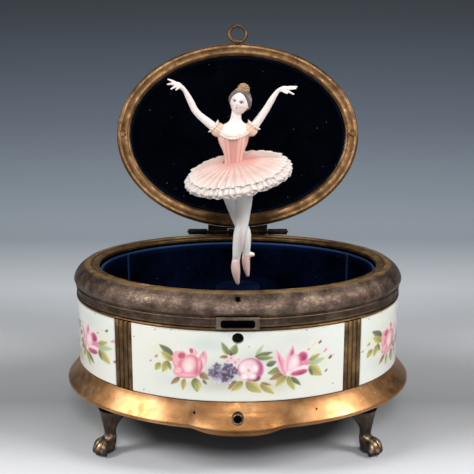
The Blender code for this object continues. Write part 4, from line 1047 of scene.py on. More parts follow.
def make_catch():
    """The slotted plate that the lid's bolt enters, and the button below it."""
    low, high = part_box("catch_bracket")
    half_x, half_z = (high.x - low.x) / 2 / MM, (high.z - low.z) / 2 / MM
    middle = Matrix.Translation((0.0, 0.0, (low.z + high.z) / 2 / MM))
    front, back = (low.y - CENTRE_Y) / MM, (high.y - CENTRE_Y) / MM
    plate = moved(slab(half_x, half_z, 0.9, [(front, 0.45), (front + 0.35, 0.05), (back, 0.0)]), middle)
    made = piece("catch_plate", plate, "case", PLATE, ["catch_bracket"])
    low_slot = Matrix.Translation((0.0, 0.0, SLOT_Z))
    drilled(made, [moved(slab(8.1, 1.95, 1.3, [(front - 1.0, -0.4), (front + 0.25, 0.0),
        (back + 1.0, 0.0)]), low_slot)])
    # painted shade: the button and its guide near black, seen down the enamel's hole
    dressed(HOLE_SHADE, "catch_button", "catch_guide")


def make_catch_spring():
    """A coil spring for the button, on a mesh of its own."""
    low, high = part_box("catch_spring")
    wire, coils = 0.3, 7
    reach = (high.x - low.x) / 2 / MM - wire
    start, end = (low.y - CENTRE_Y) / MM + wire, (high.y - CENTRE_Y) / MM - wire
    share = np.linspace(0.0, 1.0, coils * 24 + 1)
    turns = np.radians(share * coils * 360.0)
    height = (low.z + high.z) / 2 / MM
    path = np.column_stack([reach * np.cos(turns), start + (end - start) * share,
        height + reach * np.sin(turns)])
    keys = np.column_stack([path, np.full(len(path), wire)])
    coil = tube(keys, 10, 1, rounded=False)
    made = piece("catch_coil", coil, "case", STEEL, ["catch_spring"])
    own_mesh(made)


# The inside


def make_linings():
    """Four padded boards under velvet, each with a rolled top edge, and a painted sheen along that edge and
    at the seams.
    """
    low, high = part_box("lining_front")[0].z / MM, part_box("lining_front")[1].z / MM
    spans = {"right": (-30, 30), "back": (30, 150), "left": (150, 210), "front": (210, 330)}
    for side, (start, end) in spans.items():
        inner = [(74.9, low), *[(74.65, z) for z in np.linspace(low + 1.0, high - 1.2, 14)],
            (74.75, high - 0.4), (75.1, high)]
        outer = [(75.5, high), (75.8, high - 0.5), (75.8, low)]
        profile = np.array(inner + outer)
        steps = 96
        share = np.linspace(0.0, 1.0, steps)
        turns = np.radians(start + 0.2 + share * (end - start - 0.4))
        radius = np.repeat(profile[None, :, 0], steps, 0)
        z = np.repeat(profile[None, :, 1], steps, 0)
        inside = np.zeros(len(profile))
        inside[: len(inner) - 1] = 1.0
        puff = (unit(np.minimum(share, 1 - share) / 0.05) ** 0.5)[:, None]
        fold = np.sin(share * 9.0 + low / 9.0)[:, None]
        swell = 0.55 * puff + 0.16 * fold * puff * (np.sin(z / 7.0 + 3.0 * share[:, None]))
        radius = radius - inside[None, :] * np.maximum(swell, 0.0)
        radius = radius + inside[None, :] * 0.35
        x, y = oval(radius, turns[:, None])
        shape = skin(np.stack([x, y, z], -1), around=True, caps=True)
        made = piece(f"velvet_{side}", shape, "case", VELVET, [f"lining_{side}"], 60.0)
        at = places(made)
        top = unit((at[:, 2] - high + 1.3) / 0.9)
        angle = np.degrees(np.arctan2(at[:, 1] / SHORT, at[:, 0] / LONG)) % 360
        span = np.minimum(np.abs(angle - start % 360), np.abs(angle - end % 360))
        seam = unit(1.0 - np.minimum(span, 360 - span) / 0.8)
        # painted sheen along the top edge and at the seams
        masked(made, "edge", 0.5 * top + 0.45 * seam)


def make_floor():
    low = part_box("false_floor")[0].z / MM
    profile = [(3.0, FLOOR_TOP), (30.0, FLOOR_TOP), (60.0, FLOOR_TOP), (72.0, FLOOR_TOP - 0.05),
        (74.0, FLOOR_TOP - 0.3)]
    profile += [(74.5, FLOOR_TOP - 0.7), (74.3, low), (40.0, low), (3.0, low)]
    profile = np.array(profile)
    turns = np.arange(160) * TAU / 160
    x, y = oval(profile[:, None, 0], turns[None, :])
    z = np.broadcast_to(profile[:, None, 1], x.shape).copy()
    shape = skin(np.stack([x, y, z], -1), around=True, along=True)
    made = piece("velvet_floor", shape, "case", VELVET, ["false_floor"], 60.0)
    masked(made, "edge", np.zeros(len(made.data.vertices)))
    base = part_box("pedestal")[0].z / MM
    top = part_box("pedestal")[1].z / MM
    profile = spline([(9.0, base), (8.2, base + 1.4), (5.9, base + 4.4), (5.3, base + 12.0),
        (5.4, top - 4.0), (6.1, top)], 5)
    profile = [*profile.tolist(), (1.8, top), (1.8, base)]
    points = lathe(profile, 48)
    made = piece("velvet_column", points, "case", VELVET, ["pedestal"], 50.0)
    at = places(made)
    # painted sheen on the column's top edge
    masked(made, "edge", unit((at[:, 2] - top + 0.6) / 0.5) * 0.5)
    low, high = (corner.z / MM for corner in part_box("turntable"))
    profile = [(0.7, high), (10.8, high), (11.8, high - 0.15), (12.3, high - 0.6), (12.4, high - 1.2),
        (12.0, low), (0.7, low)]
    made = piece("velvet_turntable", lathe(profile, 64), "spindle", VELVET, ["turntable"],
        50.0)
    at = places(made)
    # painted sheen, very faint, on the turntable's rim
    masked(made, "edge", unit((np.hypot(at[:, 0], at[:, 1]) - 11.2) / 0.8) * (at[:, 2] > high - 0.8) * 0.02)


# The lid


def make_lid():
    dome = [(2.0, RIM + 16.5), (20.0, RIM + 16.0), (40.0, RIM + 14.4), (56.0, RIM + 11.6),
        (69.0, RIM + 8.2), (75.4, RIM + 5.6)]
    edge = [(76.5, RIM + 5.15), (77.0, RIM + 4.4), (77.0, RIM + 3.7), (74.4, RIM + 3.7)]
    profile = [*spline(dome, 14).tolist(), *edge, (68.0, RIM + 6.4), (40.0, RIM + 12.2), (2.0, RIM + 14.2)]
    made = piece("enamel_lid", moved(oval_disc(profile, 320), LID), "lid", ENAMEL,
        ["lid_shell"])
    back = Matrix(LID.inverted())
    at = places(made) @ np.array(back.to_3x3()).T + np.array(back.translation)
    art = Painting(at[:, 0] / 1.15, at[:, 1] / 1.15, CREAM)
    art.colour += (rgb(222, 232, 226) - CREAM) * lumps(at, 60.0, 6)[:, None] * 0.8
    art.spray()
    band = np.abs(np.hypot(at[:, 0] / 71.0, at[:, 1] / 54.0) - 1.0)
    art.lay(unit(1.0 - band / 0.008) * 0.85, rgb(176, 132, 66))
    painted(made, art.colour)
    profile = [(77.0, RIM + 3.4), (77.0, RIM + 1.6), (76.8, RIM + 1.1), (76.2, RIM + 0.75),
        (75.4, RIM + 0.62), (74.9, RIM + 0.78)]
    profile += [(74.3, RIM + 0.8), (73.6, RIM + 0.62), (71.2, RIM + 0.6), (70.3, RIM + 0.72),
        (69.5, RIM + 1.1), (68.9, RIM + 1.7), (68.9, RIM + 3.4)]
    made = piece("lid_rim", moved(oval_ring(profile, 320), LID), "lid", ANTIQUE,
        ["lid_frame"])
    holes = []
    for x in (-73.2, 73.2):
        ends = [LID @ Vector((x, 0.0, RIM + z)) for z in (-1.0, 1.5)]
        holes.append(bore(*ends, 2.1))
    drilled(made, holes)
    dressed(ANTIQUE, "frame_screw_left", "frame_screw_right", bevel=0.15)


def make_lid_lining():
    """A padded velvet dish, close under the dome."""
    line = [(2.0, RIM + 10.3), (20.0, RIM + 10.1), (40.0, RIM + 9.0), (56.0, RIM + 6.6), (64.5, RIM + 4.4),
        (67.2, RIM + 2.6), (68.1, RIM + 1.9)]
    front = spline(line, 7)
    back = [(68.6, RIM + 2.2), (68.6, RIM + 4.2), (46.0, RIM + 9.8), (2.0, RIM + 12.0)]
    profile = np.array(front.tolist() + back)
    points, faces = oval_disc(profile, 240)
    grid = points.reshape(len(profile), 240, 3)
    turns = np.arange(240) * TAU / 240
    soft = 0.22 * np.sin(5 * turns + 0.7) + 0.14 * np.sin(11 * turns)
    share = unit(np.arange(len(front)) / len(front))
    weight = (np.sin(share * math.pi) ** 2)[:, None]
    grid[: len(front), :, 2] += weight * soft[None, :] * 0.7
    # the lid's velvet in its darker copy, as painted shade
    made = piece("velvet_lid", moved((grid.reshape(-1, 3), faces), LID), "lid", SHADED_LID_VELVET,
        ["lid_lining"], 60.0)
    at = places(made) @ np.array(LID.inverted().to_3x3()).T + np.array(LID.inverted().translation)
    # painted sheen, faint, along the lid lining's lower edge
    rim = unit((RIM + 2.9 - at[:, 2]) / 0.8) * (0.25 + 0.75 * lumps(at, 12.0, 8))
    masked(made, "edge", rim * 0.05)


def make_lid_ring():
    front = -(SHORT + 77.0 - LONG)
    z = RIM + 3.1
    loop = ring_of(5.55, 1.05, (0.0, front - 7.1, z), None, 64, 20)
    forward = Matrix.Rotation(math.pi / 2, 4, "X")
    post = lathe([(1.7, 0.2), (1.9, 0.8), (1.5, 1.3), (1.2, 1.9), (1.15, 2.6)], 32)
    post = moved(post, Matrix.Translation((0.0, front, z)) @ forward)
    collar = ring_of(1.5, 0.45, (0.0, 0.0, 0.0), None, 32, 10)
    collar = moved(collar, Matrix.Translation((0.0, front - 1.3, z)) @ forward)
    piece("finger_ring", moved(merged(loop, post, collar), LID), "lid", ANTIQUE,
        ["lid_ring"])


def make_hinge():
    # painted shade: the hinge's leaves and pin darkened
    dressed(SHADED_HINGES, "hinge_leaf_case", "hinge_leaf_lid", bevel=0.2)
    dressed(DARK, "hinge_pin")
    leaf = 92.4
    for number, x in enumerate((-26.0, -15.5, 0.0, 15.5, 26.0)):
        head = lathe([(1.25, 0.0), (1.15, 0.25), (0.85, 0.5), (0.35, 0.62)], 24)
        shape = moved(head, Matrix.Translation((x, 66.2, leaf)))
        piece(f"hinge_rivet_{number}", shape, "case", STEEL)


def make_movement():
    dressed(BRASS, "bedplate", "bearing_front", "bearing_rear", "comb_block")
    dressed(BRASS, "spring_barrel", "music_cylinder", "cylinder_wheel", "crown_wheel")
    # painted shade: the winding arbor near black, seen down the skirt's hole
    dressed(HOLE_SHADE, "winding_arbor")
    dressed(STEEL, "mainspring", "ratchet_wheel", "click", "comb", "governor_fan", "spindle")
    dressed(DARK, "base_plate", bevel=0.2)
    dressed(ANTIQUE, "case_wall")


# The dancer

SKIN = rgb(244, 230, 226)
PINK = rgb(236, 188, 174)
ROSE = rgb(212, 140, 128)
WHITE = rgb(242, 234, 226)
HEAD = Vector((1.1, -0.4, 176.8))
HEAD_TILT = Matrix.Rotation(math.radians(12.0), 4, "Y") @ Matrix.Rotation(math.radians(-14.0), 4, "Z")


def to_head(points):
    """Points in the head's own frame: x to its left, -y the way it faces."""
    turn = np.array(HEAD_TILT.to_3x3(), float)
    return (points - np.array(HEAD)) @ turn


def make_legs():
    """Crossed legs in tights, on the tips of satin shoes."""
    front = [
        (3.6, -0.6, 136.0, 5.0), (3.5, -1.4, 126.0, 4.7), (3.0, -2.0, 118.0, 4.0), (2.5, -2.0, 112.0, 3.5),
        (1.2, -1.6, 105.5, 3.55), (0.0, -1.0, 98.0, 2.9), (-0.8, -0.6, 91.5, 2.15), (-1.2, -0.6, 87.6, 2.5),
        (-1.0, -0.5, 84.0, 2.45), (-0.5, -0.2, 80.0, 1.75), (0.0, 0.0, 77.3, 1.1),
    ]
    back = [
        (-4.8, 1.2, 136.0, 5.0), (-3.8, 2.0, 127.0, 4.6), (-1.2, 2.8, 118.0, 3.9), (0.6, 3.2, 112.0, 3.4),
        (3.6, 4.0, 105.5, 3.6), (4.6, 4.2, 99.0, 2.8), (4.7, 4.4, 93.0, 2.1), (4.6, 4.4, 89.0, 2.3),
        (5.0, 4.3, 84.6, 1.9), (5.6, 4.2, 80.8, 1.1),
    ]
    heel = [(4.8, 4.5, 91.6, 1.9), (6.6, 4.9, 92.4, 1.8), (8.3, 5.2, 92.3, 1.35)]
    hips = ellipsoid((8.2, 5.8, 6.6), (-0.8, 0.4, 136.5))
    shape = merged(tube(front, 28, 5), tube(back, 28, 5), tube(heel, 20, 5), hips)
    made = piece("dancer_legs", shape, "figure", PORCELAIN, ["figure_legs"])
    melted(made, 0.36, 6)
    at = places(made)
    # tights painted near white: their own pale colour, lifted further as painted light against the tutu's
    # shadow
    colour = np.tile(rgb(253, 248, 245), (len(at), 1))
    art = Painting(at[:, 0], at[:, 2], SKIN)
    art.colour = colour
    shoe = unit((90.5 + 0.12 * (at[:, 0] + 1) - at[:, 2]) / 0.8)
    back_shoe = unit((93.0 - at[:, 2]) / 0.8) * unit((at[:, 0] - 3.2) / 0.8)
    art.lay(np.maximum(shoe, back_shoe), rgb(238, 204, 194))
    art.lay(unit((81.0 - at[:, 2]) / 3.0) * 0.5, rgb(222, 178, 166))
    art.vein(-3.6, 93.5, 2.2, 90.6, rgb(222, 172, 162), 0.3, 0.8)
    art.vein(-3.2, 91.0, 1.6, 94.0, rgb(222, 172, 162), 0.3, 0.8)
    art.haze(1.6, 100.0, 0.9, 12.0, rgb(214, 180, 176), 0.45)
    painted(made, art.colour)


def torso_rings():
    """z, x, y, half width and half depth from the waist to the chin."""
    return spline(
        [
            (142.6, -2.0, 0.0, 6.4, 4.6), (145.0, -2.1, 0.0, 5.2, 4.1), (147.6, -2.2, 0.0, 5.0, 4.0),
            (151.0, -2.25, -0.1, 5.8, 4.5), (154.6, -2.35, -0.2, 7.4, 5.2), (158.0, -2.4, -0.2, 8.3, 5.5),
            (161.0, -2.1, 0.0, 8.7, 5.2), (163.2, -1.7, 0.1, 8.5, 4.4), (164.9, -1.4, 0.2, 6.9, 3.7),
            (166.2, -1.2, 0.2, 4.6, 3.1), (167.6, -1.1, 0.1, 3.3, 2.8), (169.6, -0.9, 0.0, 2.8, 2.6),
            (172.5, -0.4, 0.1, 2.75, 2.6), (175.0, 0.4, 0.2, 2.9, 2.8),
        ],
        6,
    )


def neckline(x):
    """The height of the bodice's lace edge at this x."""
    return 160.7 + 0.055 * (x + 2.4) ** 2


def make_body():
    rings = torso_rings()
    turns = np.arange(96) * TAU / 96
    power = 0.92
    cos, sin = np.cos(turns), np.sin(turns)
    shape_x = np.sign(cos) * np.abs(cos) ** power
    shape_y = np.sign(sin) * np.abs(sin) ** power
    x = rings[:, 1:2] + rings[:, 3:4] * shape_x
    y = rings[:, 2:3] + rings[:, 4:5] * shape_y
    z = np.repeat(rings[:, 0:1], len(turns), 1)
    front = unit(-sin)[None, :]
    for side in (-1, 1):
        y -= 1.1 * bell(x + 2.4 - side * 3.5, 2.5, z - 158.6, 2.6) * front
    body = skin(np.stack([x, y, z], -1), around=True, caps=True)
    made = piece("dancer_body", body, "figure", PORCELAIN, ["figure_body"], 60.0)
    at = places(made)
    art = Painting(at[:, 0], at[:, 2], SKIN)
    bodice = unit((neckline(at[:, 0]) - at[:, 2]) / 0.35)
    art.lay(bodice, PINK)
    art.lay(bodice * bell(at[:, 0] + 2.6, 2.0) * (at[:, 1] < 0) * 0.75, ROSE)
    art.lay(bodice * bell(at[:, 0] + 8.2, 1.6) * 0.5, rgb(232, 186, 170))
    art.lay(bodice * bell(at[:, 0] - 2.6, 1.3) * (at[:, 1] < 0) * 0.55, rgb(240, 204, 186))
    art.lay(bodice * bell(at[:, 0] - 4.6, 0.8) * (at[:, 2] > 150) * 0.5, rgb(198, 96, 92))
    for x in (-5.4, -3.6, -1.2, 0.8):
        lean = (at[:, 0] - x - 0.16 * (at[:, 2] - 146.0) * (x + 2.3) / 4.0) / 0.28
        art.lay(bodice * bell(lean, 1.0) * (at[:, 1] < 0) * 0.55, rgb(186, 96, 88))
    art.haze(-1.2, 163.2, 5.0, 1.2, rgb(250, 240, 230), 0.5)
    art.haze(1.8, 170.0, 1.4, 2.2, rgb(228, 200, 194), 0.5)
    painted(made, art.colour)


def make_head():
    """A plain doll's head: a smooth oval face with small painted features."""
    steps, rows = 200, 150
    lean = np.linspace(0.02, math.pi - 0.02, rows)[:, None]
    turns = (np.arange(steps) * TAU / steps)[None, :]
    x = 5.05 * np.sin(lean) * np.cos(turns)
    y = 5.6 * np.sin(lean) * np.sin(turns)
    z = 6.8 * np.cos(lean) + 0 * turns
    low = unit(-z / 6.8)
    x = x * (1.0 - 0.3 * low**1.7)
    y = np.where(y > 0, y * (1 - 0.25 * low), y * (1.0 - 0.12 * low**2))
    face = unit(-y / 5.6) ** 0.6
    for side in (-1, 1):
        y += 0.42 * bell(x - side * 1.95, 1.0, z - 0.75, 0.75) * face
        y -= 0.3 * bell(x - side * 2.5, 1.2, z + 1.5, 1.3) * face
    y -= 0.85 * bell(x, 0.5, z + 0.9, 0.75) * face
    y -= 0.35 * bell(x, 0.42, z - 0.3, 1.1) * face
    y -= 0.3 * bell(x, 0.9, z + 2.7, 0.45) * face
    y -= 0.4 * bell(x, 1.3, z + 4.9, 1.0) * face
    ears = [ellipsoid((0.7, 1.1, 1.5), (side * 4.85, 0.6, -0.6), 16, 12) for side in (-1, 1)]
    shape = merged(skin(np.stack([x, y, z], -1), around=True, caps=True), *ears)
    made = piece("dancer_head", moved(shape, Matrix.Translation(HEAD) @ HEAD_TILT), "figure",
        PORCELAIN, (), 60.0)
    own = to_head(places(made))
    art = Painting(own[:, 0], own[:, 2], SKIN)
    front = own[:, 1] < -1.0
    for side in (-1, 1):
        art.haze(side * 2.75, -1.9, 1.15, 0.95, rgb(236, 158, 150), 0.5)
        art.haze(side * 1.95, 0.95, 1.3, 0.7, rgb(214, 176, 170), 0.4)
        art.haze(side * 1.95, 0.5, 1.15, 0.85, rgb(128, 104, 106), 0.55)
        art.blob(side * 1.95, 0.45, 1.05, 0.62, 0.0, rgb(250, 246, 244), 0.2)
        art.blob(side * 1.92, 0.48, 0.76, 0.7, 0.0, rgb(26, 21, 27), 0.2)
        # painted highlight: a white glint in each eye
        art.blob(side * 1.75, 0.68, 0.14, 0.14, 0.0, rgb(250, 250, 250), 0.4)
        for step in range(9):
            a = math.pi * (0.08 + 0.84 * step / 8)
            art.blob(side * 1.95 + 1.15 * math.cos(a), 0.42 + 0.72 * math.sin(a), 0.24, 0.18, 0.0,
                rgb(40, 28, 30), 0.4)
            art.blob(side * 2.0 + 1.3 * math.cos(a), 1.7 + 0.5 * math.sin(a), 0.22, 0.1, 0.0,
                rgb(110, 86, 82), 0.5, 0.8)
        art.blob(side * 0.32, -1.5, 0.14, 0.1, 0.0, rgb(196, 130, 124), 0.5, 0.7)
    art.blob(0.0, -2.62, 0.72, 0.26, 0.0, rgb(206, 86, 90), 0.4)
    art.blob(0.0, -3.0, 0.58, 0.28, 0.0, rgb(216, 104, 104), 0.4)
    art.haze(0.0, -3.9, 0.9, 0.3, rgb(226, 190, 184), 0.4)
    art.haze(0.6, -5.4, 2.6, 0.9, rgb(232, 170, 164), 0.35)
    art.colour = np.where(front[:, None], art.colour, SKIN)
    painted(made, art.colour)


def make_hair():
    """Hair drawn from a parted hairline up to a coiled bun."""
    steps, rows = 256, 60
    turns = np.arange(steps) * TAU / steps
    from_front = np.abs((turns + math.pi) % TAU - math.pi)
    keys = [0, 0.3, 0.7, 1.15, 1.6, 2.2, math.pi]
    reach = np.interp(from_front, keys, [50, 55, 70, 90, 106, 116, 120])
    reach = np.convolve(np.concatenate([reach[-12:], reach, reach[:12]]), np.ones(9) / 9, "same")[12:-12]
    share = np.linspace(0.02, 1.0, rows)[:, None]
    lean = np.radians(reach)[None, :] * share
    axis = math.radians(17.0)
    x = np.sin(lean) * np.sin(turns)
    y = -np.sin(lean) * np.cos(turns)
    z = np.cos(lean)
    y, z = y * math.cos(axis) + z * math.sin(axis), -y * math.sin(axis) + z * math.cos(axis)
    low = unit(-z)
    size = 1.0 / np.sqrt((x / (5.15 - 0.6 * low)) ** 2 + (y / 5.75) ** 2 + (z / 6.9) ** 2)
    thick = 0.95 * unit((1.0 - share) / 0.12) ** 0.5 + 0.06
    strand = 0.11 * np.cos(46 * turns + 5.0 * share) + 0.06 * np.cos(97 * turns + 1.3)
    parting = -0.35 * bell(from_front, 0.07) * (share > 0.2)
    size = size + thick + (strand + parting) * unit((1 - share) / 0.08) * unit(share / 0.3)
    outer = np.stack([x * size, y * size, z * size], -1)
    inner = outer[-1:] * 0.93
    cap = skin(np.vstack([outer, inner]), around=True, caps=True)
    bun = bun_shape()
    place = Matrix.Translation(HEAD) @ HEAD_TILT
    made = piece("dancer_hair", moved(merged(cap, bun), place), "figure", HAIR,
        ["figure_hair"], 60.0)
    own = to_head(places(made))
    grey, light, fair = rgb(104, 88, 84), rgb(140, 122, 114), rgb(196, 158, 112)
    streak = 0.5 + 0.5 * np.sin(np.arctan2(own[:, 0], -own[:, 1] + 2.2) * 38)
    colour = grey + (light - grey) * streak[:, None] * 0.6
    crown = unit((own[:, 2] - 6.2) / 1.0)[:, None]
    turn = np.arctan2(own[:, 0], own[:, 1] - 2.2)
    swirl = 0.5 + 0.5 * np.sin(turn * 3 + own[:, 2] * 5.0)
    coil = fair + (rgb(150, 112, 76) - fair) * swirl[:, None] * 0.7
    painted(made, colour + (coil - colour) * crown)


def bun_shape():
    """A soft knot of hair wound in a coil, in the head's frame."""
    steps, rows = 96, 60
    lean = np.linspace(0.04, math.pi - 0.04, rows)[:, None]
    turns = (np.arange(steps) * TAU / steps)[None, :]
    coil = 1.0 + 0.075 * np.cos(3 * turns + 11.0 * lean) + 0.02 * np.cos(24 * turns + 7 * lean)
    x = 3.2 * coil * np.sin(lean) * np.cos(turns)
    y = 3.1 * coil * np.sin(lean) * np.sin(turns)
    z = 2.8 * coil * np.cos(lean) + 0 * turns
    shape = skin(np.stack([x, y, z], -1), around=True, caps=True)
    return moved(shape, Matrix.Translation((0.0, 2.2, 7.4)) @ Matrix.Rotation(-0.3, 4, "X"))


def make_arms():
    """Bare arms with open hands; three fingers show on each, and a thumb."""
    left = [
        (-9.4, 0.0, 161.4, 2.7), (-12.6, -0.3, 163.8, 2.45), (-16.6, -0.7, 167.0, 2.2),
        (-20.4, -1.2, 170.2, 1.9), (-22.9, -1.6, 173.2, 1.8), (-24.6, -2.0, 176.8, 1.75),
        (-26.4, -2.5, 180.4, 1.5), (-28.2, -3.1, 183.6, 1.15), (-30.2, -3.5, 185.6, 1.2),
    ]
    hand = [
        tube([(-29.2, -3.3, 184.8, 1.15), (-31.2, -3.7, 186.0, 1.55), (-32.8, -4.0, 186.6, 1.3)], 16, 4,
        0.62),
        tube([(-32.0, -3.8, 187.0, 0.72), (-34.4, -4.2, 188.2, 0.62), (-36.5, -4.6, 189.1, 0.42)], 12, 4),
        tube([(-32.4, -4.1, 186.4, 0.74), (-34.8, -4.5, 186.7, 0.62), (-36.8, -4.8, 186.5, 0.42)], 12, 4),
        tube([(-32.0, -4.2, 185.6, 0.72), (-33.6, -4.6, 184.9, 0.6), (-35.0, -4.9, 184.1, 0.42)], 12, 4),
        tube([(-30.2, -4.0, 185.4, 0.7), (-31.4, -4.8, 184.4, 0.55), (-32.4, -5.4, 183.7, 0.4)], 12, 4),
    ]
    right = [
        (5.8, 0.0, 161.4, 2.7), (8.6, -0.3, 164.2, 2.4), (11.4, -0.7, 168.0, 2.2),
        (14.2, -1.1, 172.0, 1.95), (16.2, -1.5, 175.2, 1.8), (17.8, -2.0, 178.0, 1.7),
        (19.6, -2.6, 180.9, 1.4), (21.2, -3.1, 183.0, 1.1), (22.6, -3.4, 183.9, 1.15),
    ]
    other = [
        tube([(21.8, -3.3, 183.4, 1.1), (24.0, -3.7, 184.2, 1.45), (26.0, -4.0, 184.3, 1.2)], 16, 4, 0.62),
        tube([(25.2, -3.9, 184.7, 0.74), (28.0, -4.3, 185.1, 0.62), (31.0, -4.6, 185.2, 0.42)], 12, 4),
        tube([(25.2, -4.1, 184.0, 0.74), (27.6, -4.5, 184.2, 0.62), (30.4, -4.9, 184.3, 0.42)], 12, 4),
        tube([(25.0, -4.2, 183.4, 0.7), (27.2, -4.6, 182.5, 0.6), (29.3, -5.0, 181.4, 0.42)], 12, 4),
        tube([(23.4, -4.0, 183.2, 0.68), (24.8, -4.7, 182.4, 0.55), (26.0, -5.2, 181.9, 0.4)], 12, 4),
    ]
    for side, arm, fingers in (("left", left, hand), ("right", right, other)):
        shape = merged(tube(arm, 24, 5), *fingers)
        made = piece(f"dancer_arm_{side}", shape, "figure", PORCELAIN, [f"figure_arm_{side}"])
        melted(made, 0.2, 4)
        at = places(made)
        art = Painting(at[:, 0], at[:, 2], SKIN)
        tips = unit((np.abs(at[:, 0]) - (33.0 if side == "left" else 27.0)) / 4.0)
        art.lay(tips * 0.35, rgb(240, 206, 190))
        painted(made, art.colour)


def ruffle(turns, reach, heights, waves, depth, seed):
    """A gathered frill: rows of rings whose waves grow towards its free edge."""
    chance = np.random.default_rng(seed)
    phase = sum(chance.uniform(0.2, 0.7) * np.sin(k * turns + chance.uniform(0, TAU)) for k in (2, 3, 5))
    share = np.linspace(0, 1, len(reach))[:, None]
    wave = np.cos(waves * turns + phase)[None, :] * share
    return np.asarray(reach)[:, None] + depth * wave, np.asarray(heights)[:, None] + 0.35 * depth * wave


def make_lace():
    """The lace round the neckline and the frilled sleeves."""
    turns = np.arange(480) * TAU / 480
    rings = torso_rings()
    shapes = []
    for drop, out, seed in ((0.0, 0.0, 2), (1.3, 0.25, 4)):
        reach, height = ruffle(turns, np.array([0.15, 0.45, 0.8, 1.05]) + out,
            np.array([0.9, 0.3, -0.6, -1.5]) - drop, 44, 0.3, seed)
        base_x = -2.1 + 8.6 * np.cos(turns)
        level = neckline(base_x)[None, :] + height
        half = [np.interp(level, rings[:, 0], rings[:, column]) for column in (1, 2, 3, 4)]
        bust = 0.9 * unit(-np.sin(turns)) ** 2 * bell(np.cos(turns) ** 2 - 0.16, 0.3)
        x = half[0] + (half[2] + reach) * np.cos(turns)
        y = half[1] + (half[3] + reach + bust) * np.sin(turns)
        shapes.append(skin(np.stack([x, y, level], -1), around=True))
    made = piece("neckline_lace", merged(*shapes), "figure", LACE, (), 70.0)
    thickened(made, LACE_THICK)
    at = places(made)
    painted(made, WHITE + (rgb(236, 206, 190) - WHITE) * lumps(at, 4.0, 3)[:, None] * 0.5)
    sleeves = {"left": ((-10.7, -0.2, 162.6), (-0.78, 0.0, 0.62)),
        "right": ((7.0, -0.2, 162.8), (0.6, 0.0, 0.8))}
    for side, (middle, way) in sleeves.items():
        turn = Vector(way).to_track_quat("Z", "Y").to_matrix().to_4x4()
        puff_reach, puff_height = ruffle(turns, [2.3, 3.4, 4.0, 4.1, 3.8, 3.1],
            [-2.9, -2.5, -1.4, 0.0, 1.2, 1.8], 14, 0.3, 5)
        edge_reach, edge_height = ruffle(turns, [2.8, 3.3, 3.8, 4.1], [1.5, 1.8, 2.3, 3.0], 18, 0.5, 6)
        parts = []
        for reach, height in ((puff_reach, puff_height), (edge_reach, edge_height)):
            x, y = reach * np.cos(turns), reach * 0.92 * np.sin(turns)
            parts.append(skin(np.stack([x, y, height + 0 * x], -1), around=True))
        count = len(parts[0][0])
        shape = moved(merged(*parts), Matrix.Translation(middle) @ turn)
        made = piece(f"sleeve_{side}", shape, "figure", LACE, (), 70.0)
        colour = np.tile(rgb(240, 198, 178), (len(shape[0]), 1))
        colour[count:] = WHITE
        painted(made, colour)
        thickened(made, LACE_THICK)


SKIRT_PLACE = (
    Matrix.Translation((-0.4, 0.0, 142.6))
    @ Matrix.Rotation(math.radians(-10.0), 4, "Y")
    @ Matrix.Rotation(math.radians(12.0), 4, "X")
)


def skirt_height(radius):
    return np.interp(radius, [4.0, 7.4, 12.0, 18.0, 23.0, 26.0, 28.0, 29.6],
        [3.4, 3.0, 2.5, 1.5, 0.1, -1.2, -2.6, -4.2])


def skirt_layer(inner, outer, rows, pleats, pleat, frills, frill, drop, seed):
    """One gathered layer of the tutu, with pleats that open into a frilled hem."""
    chance = np.random.default_rng(seed)
    count = 960
    turns = np.arange(count) * TAU / count
    phase = sum(chance.uniform(0.4, 1.1) * np.sin(k * turns + chance.uniform(0, TAU)) for k in (2, 3, 5, 7))
    uneven = 0.7 + 0.3 * np.sin(4 * turns + chance.uniform(0, TAU)) * np.sin(9 * turns + 1.0)
    share = np.linspace(0, 1, rows)[:, None]
    radius = inner + (outer - inner) * share
    fold = np.cos(pleats * turns + phase)
    fold = np.sign(fold) * np.abs(fold) ** 0.7
    hem = np.cos(frills * turns + 2.0 * phase + 0.5)
    hem = np.sign(hem) * np.abs(hem) ** 0.75 + 0.25 * np.cos(2 * frills * turns + phase)
    height = skirt_height(radius) - drop + pleat * uneven * fold * np.minimum(1.0, share * 1.6) ** 0.8
    height = height + frill * uneven * hem * unit((share - 0.55) / 0.45) ** 1.3
    reach = radius + 0.55 * hem * share**4 + 0.5 * np.sin(7 * turns + seed) * np.sin(12 * turns) * share**3
    hug = unit((radius - 4.6) / 7.0) ** 0.7
    x = reach * np.cos(turns) * (hug + (1 - hug) * 1.16) - 1.7 * (1 - hug)
    y = reach * np.sin(turns) * (hug + (1 - hug) * 0.84)
    points = np.stack([x, y, height], -1)
    tint = np.stack([np.broadcast_to(value, height.shape) for value in (radius, fold, hem)], -1)
    return skin(points, around=True), tint.reshape(-1, 3)


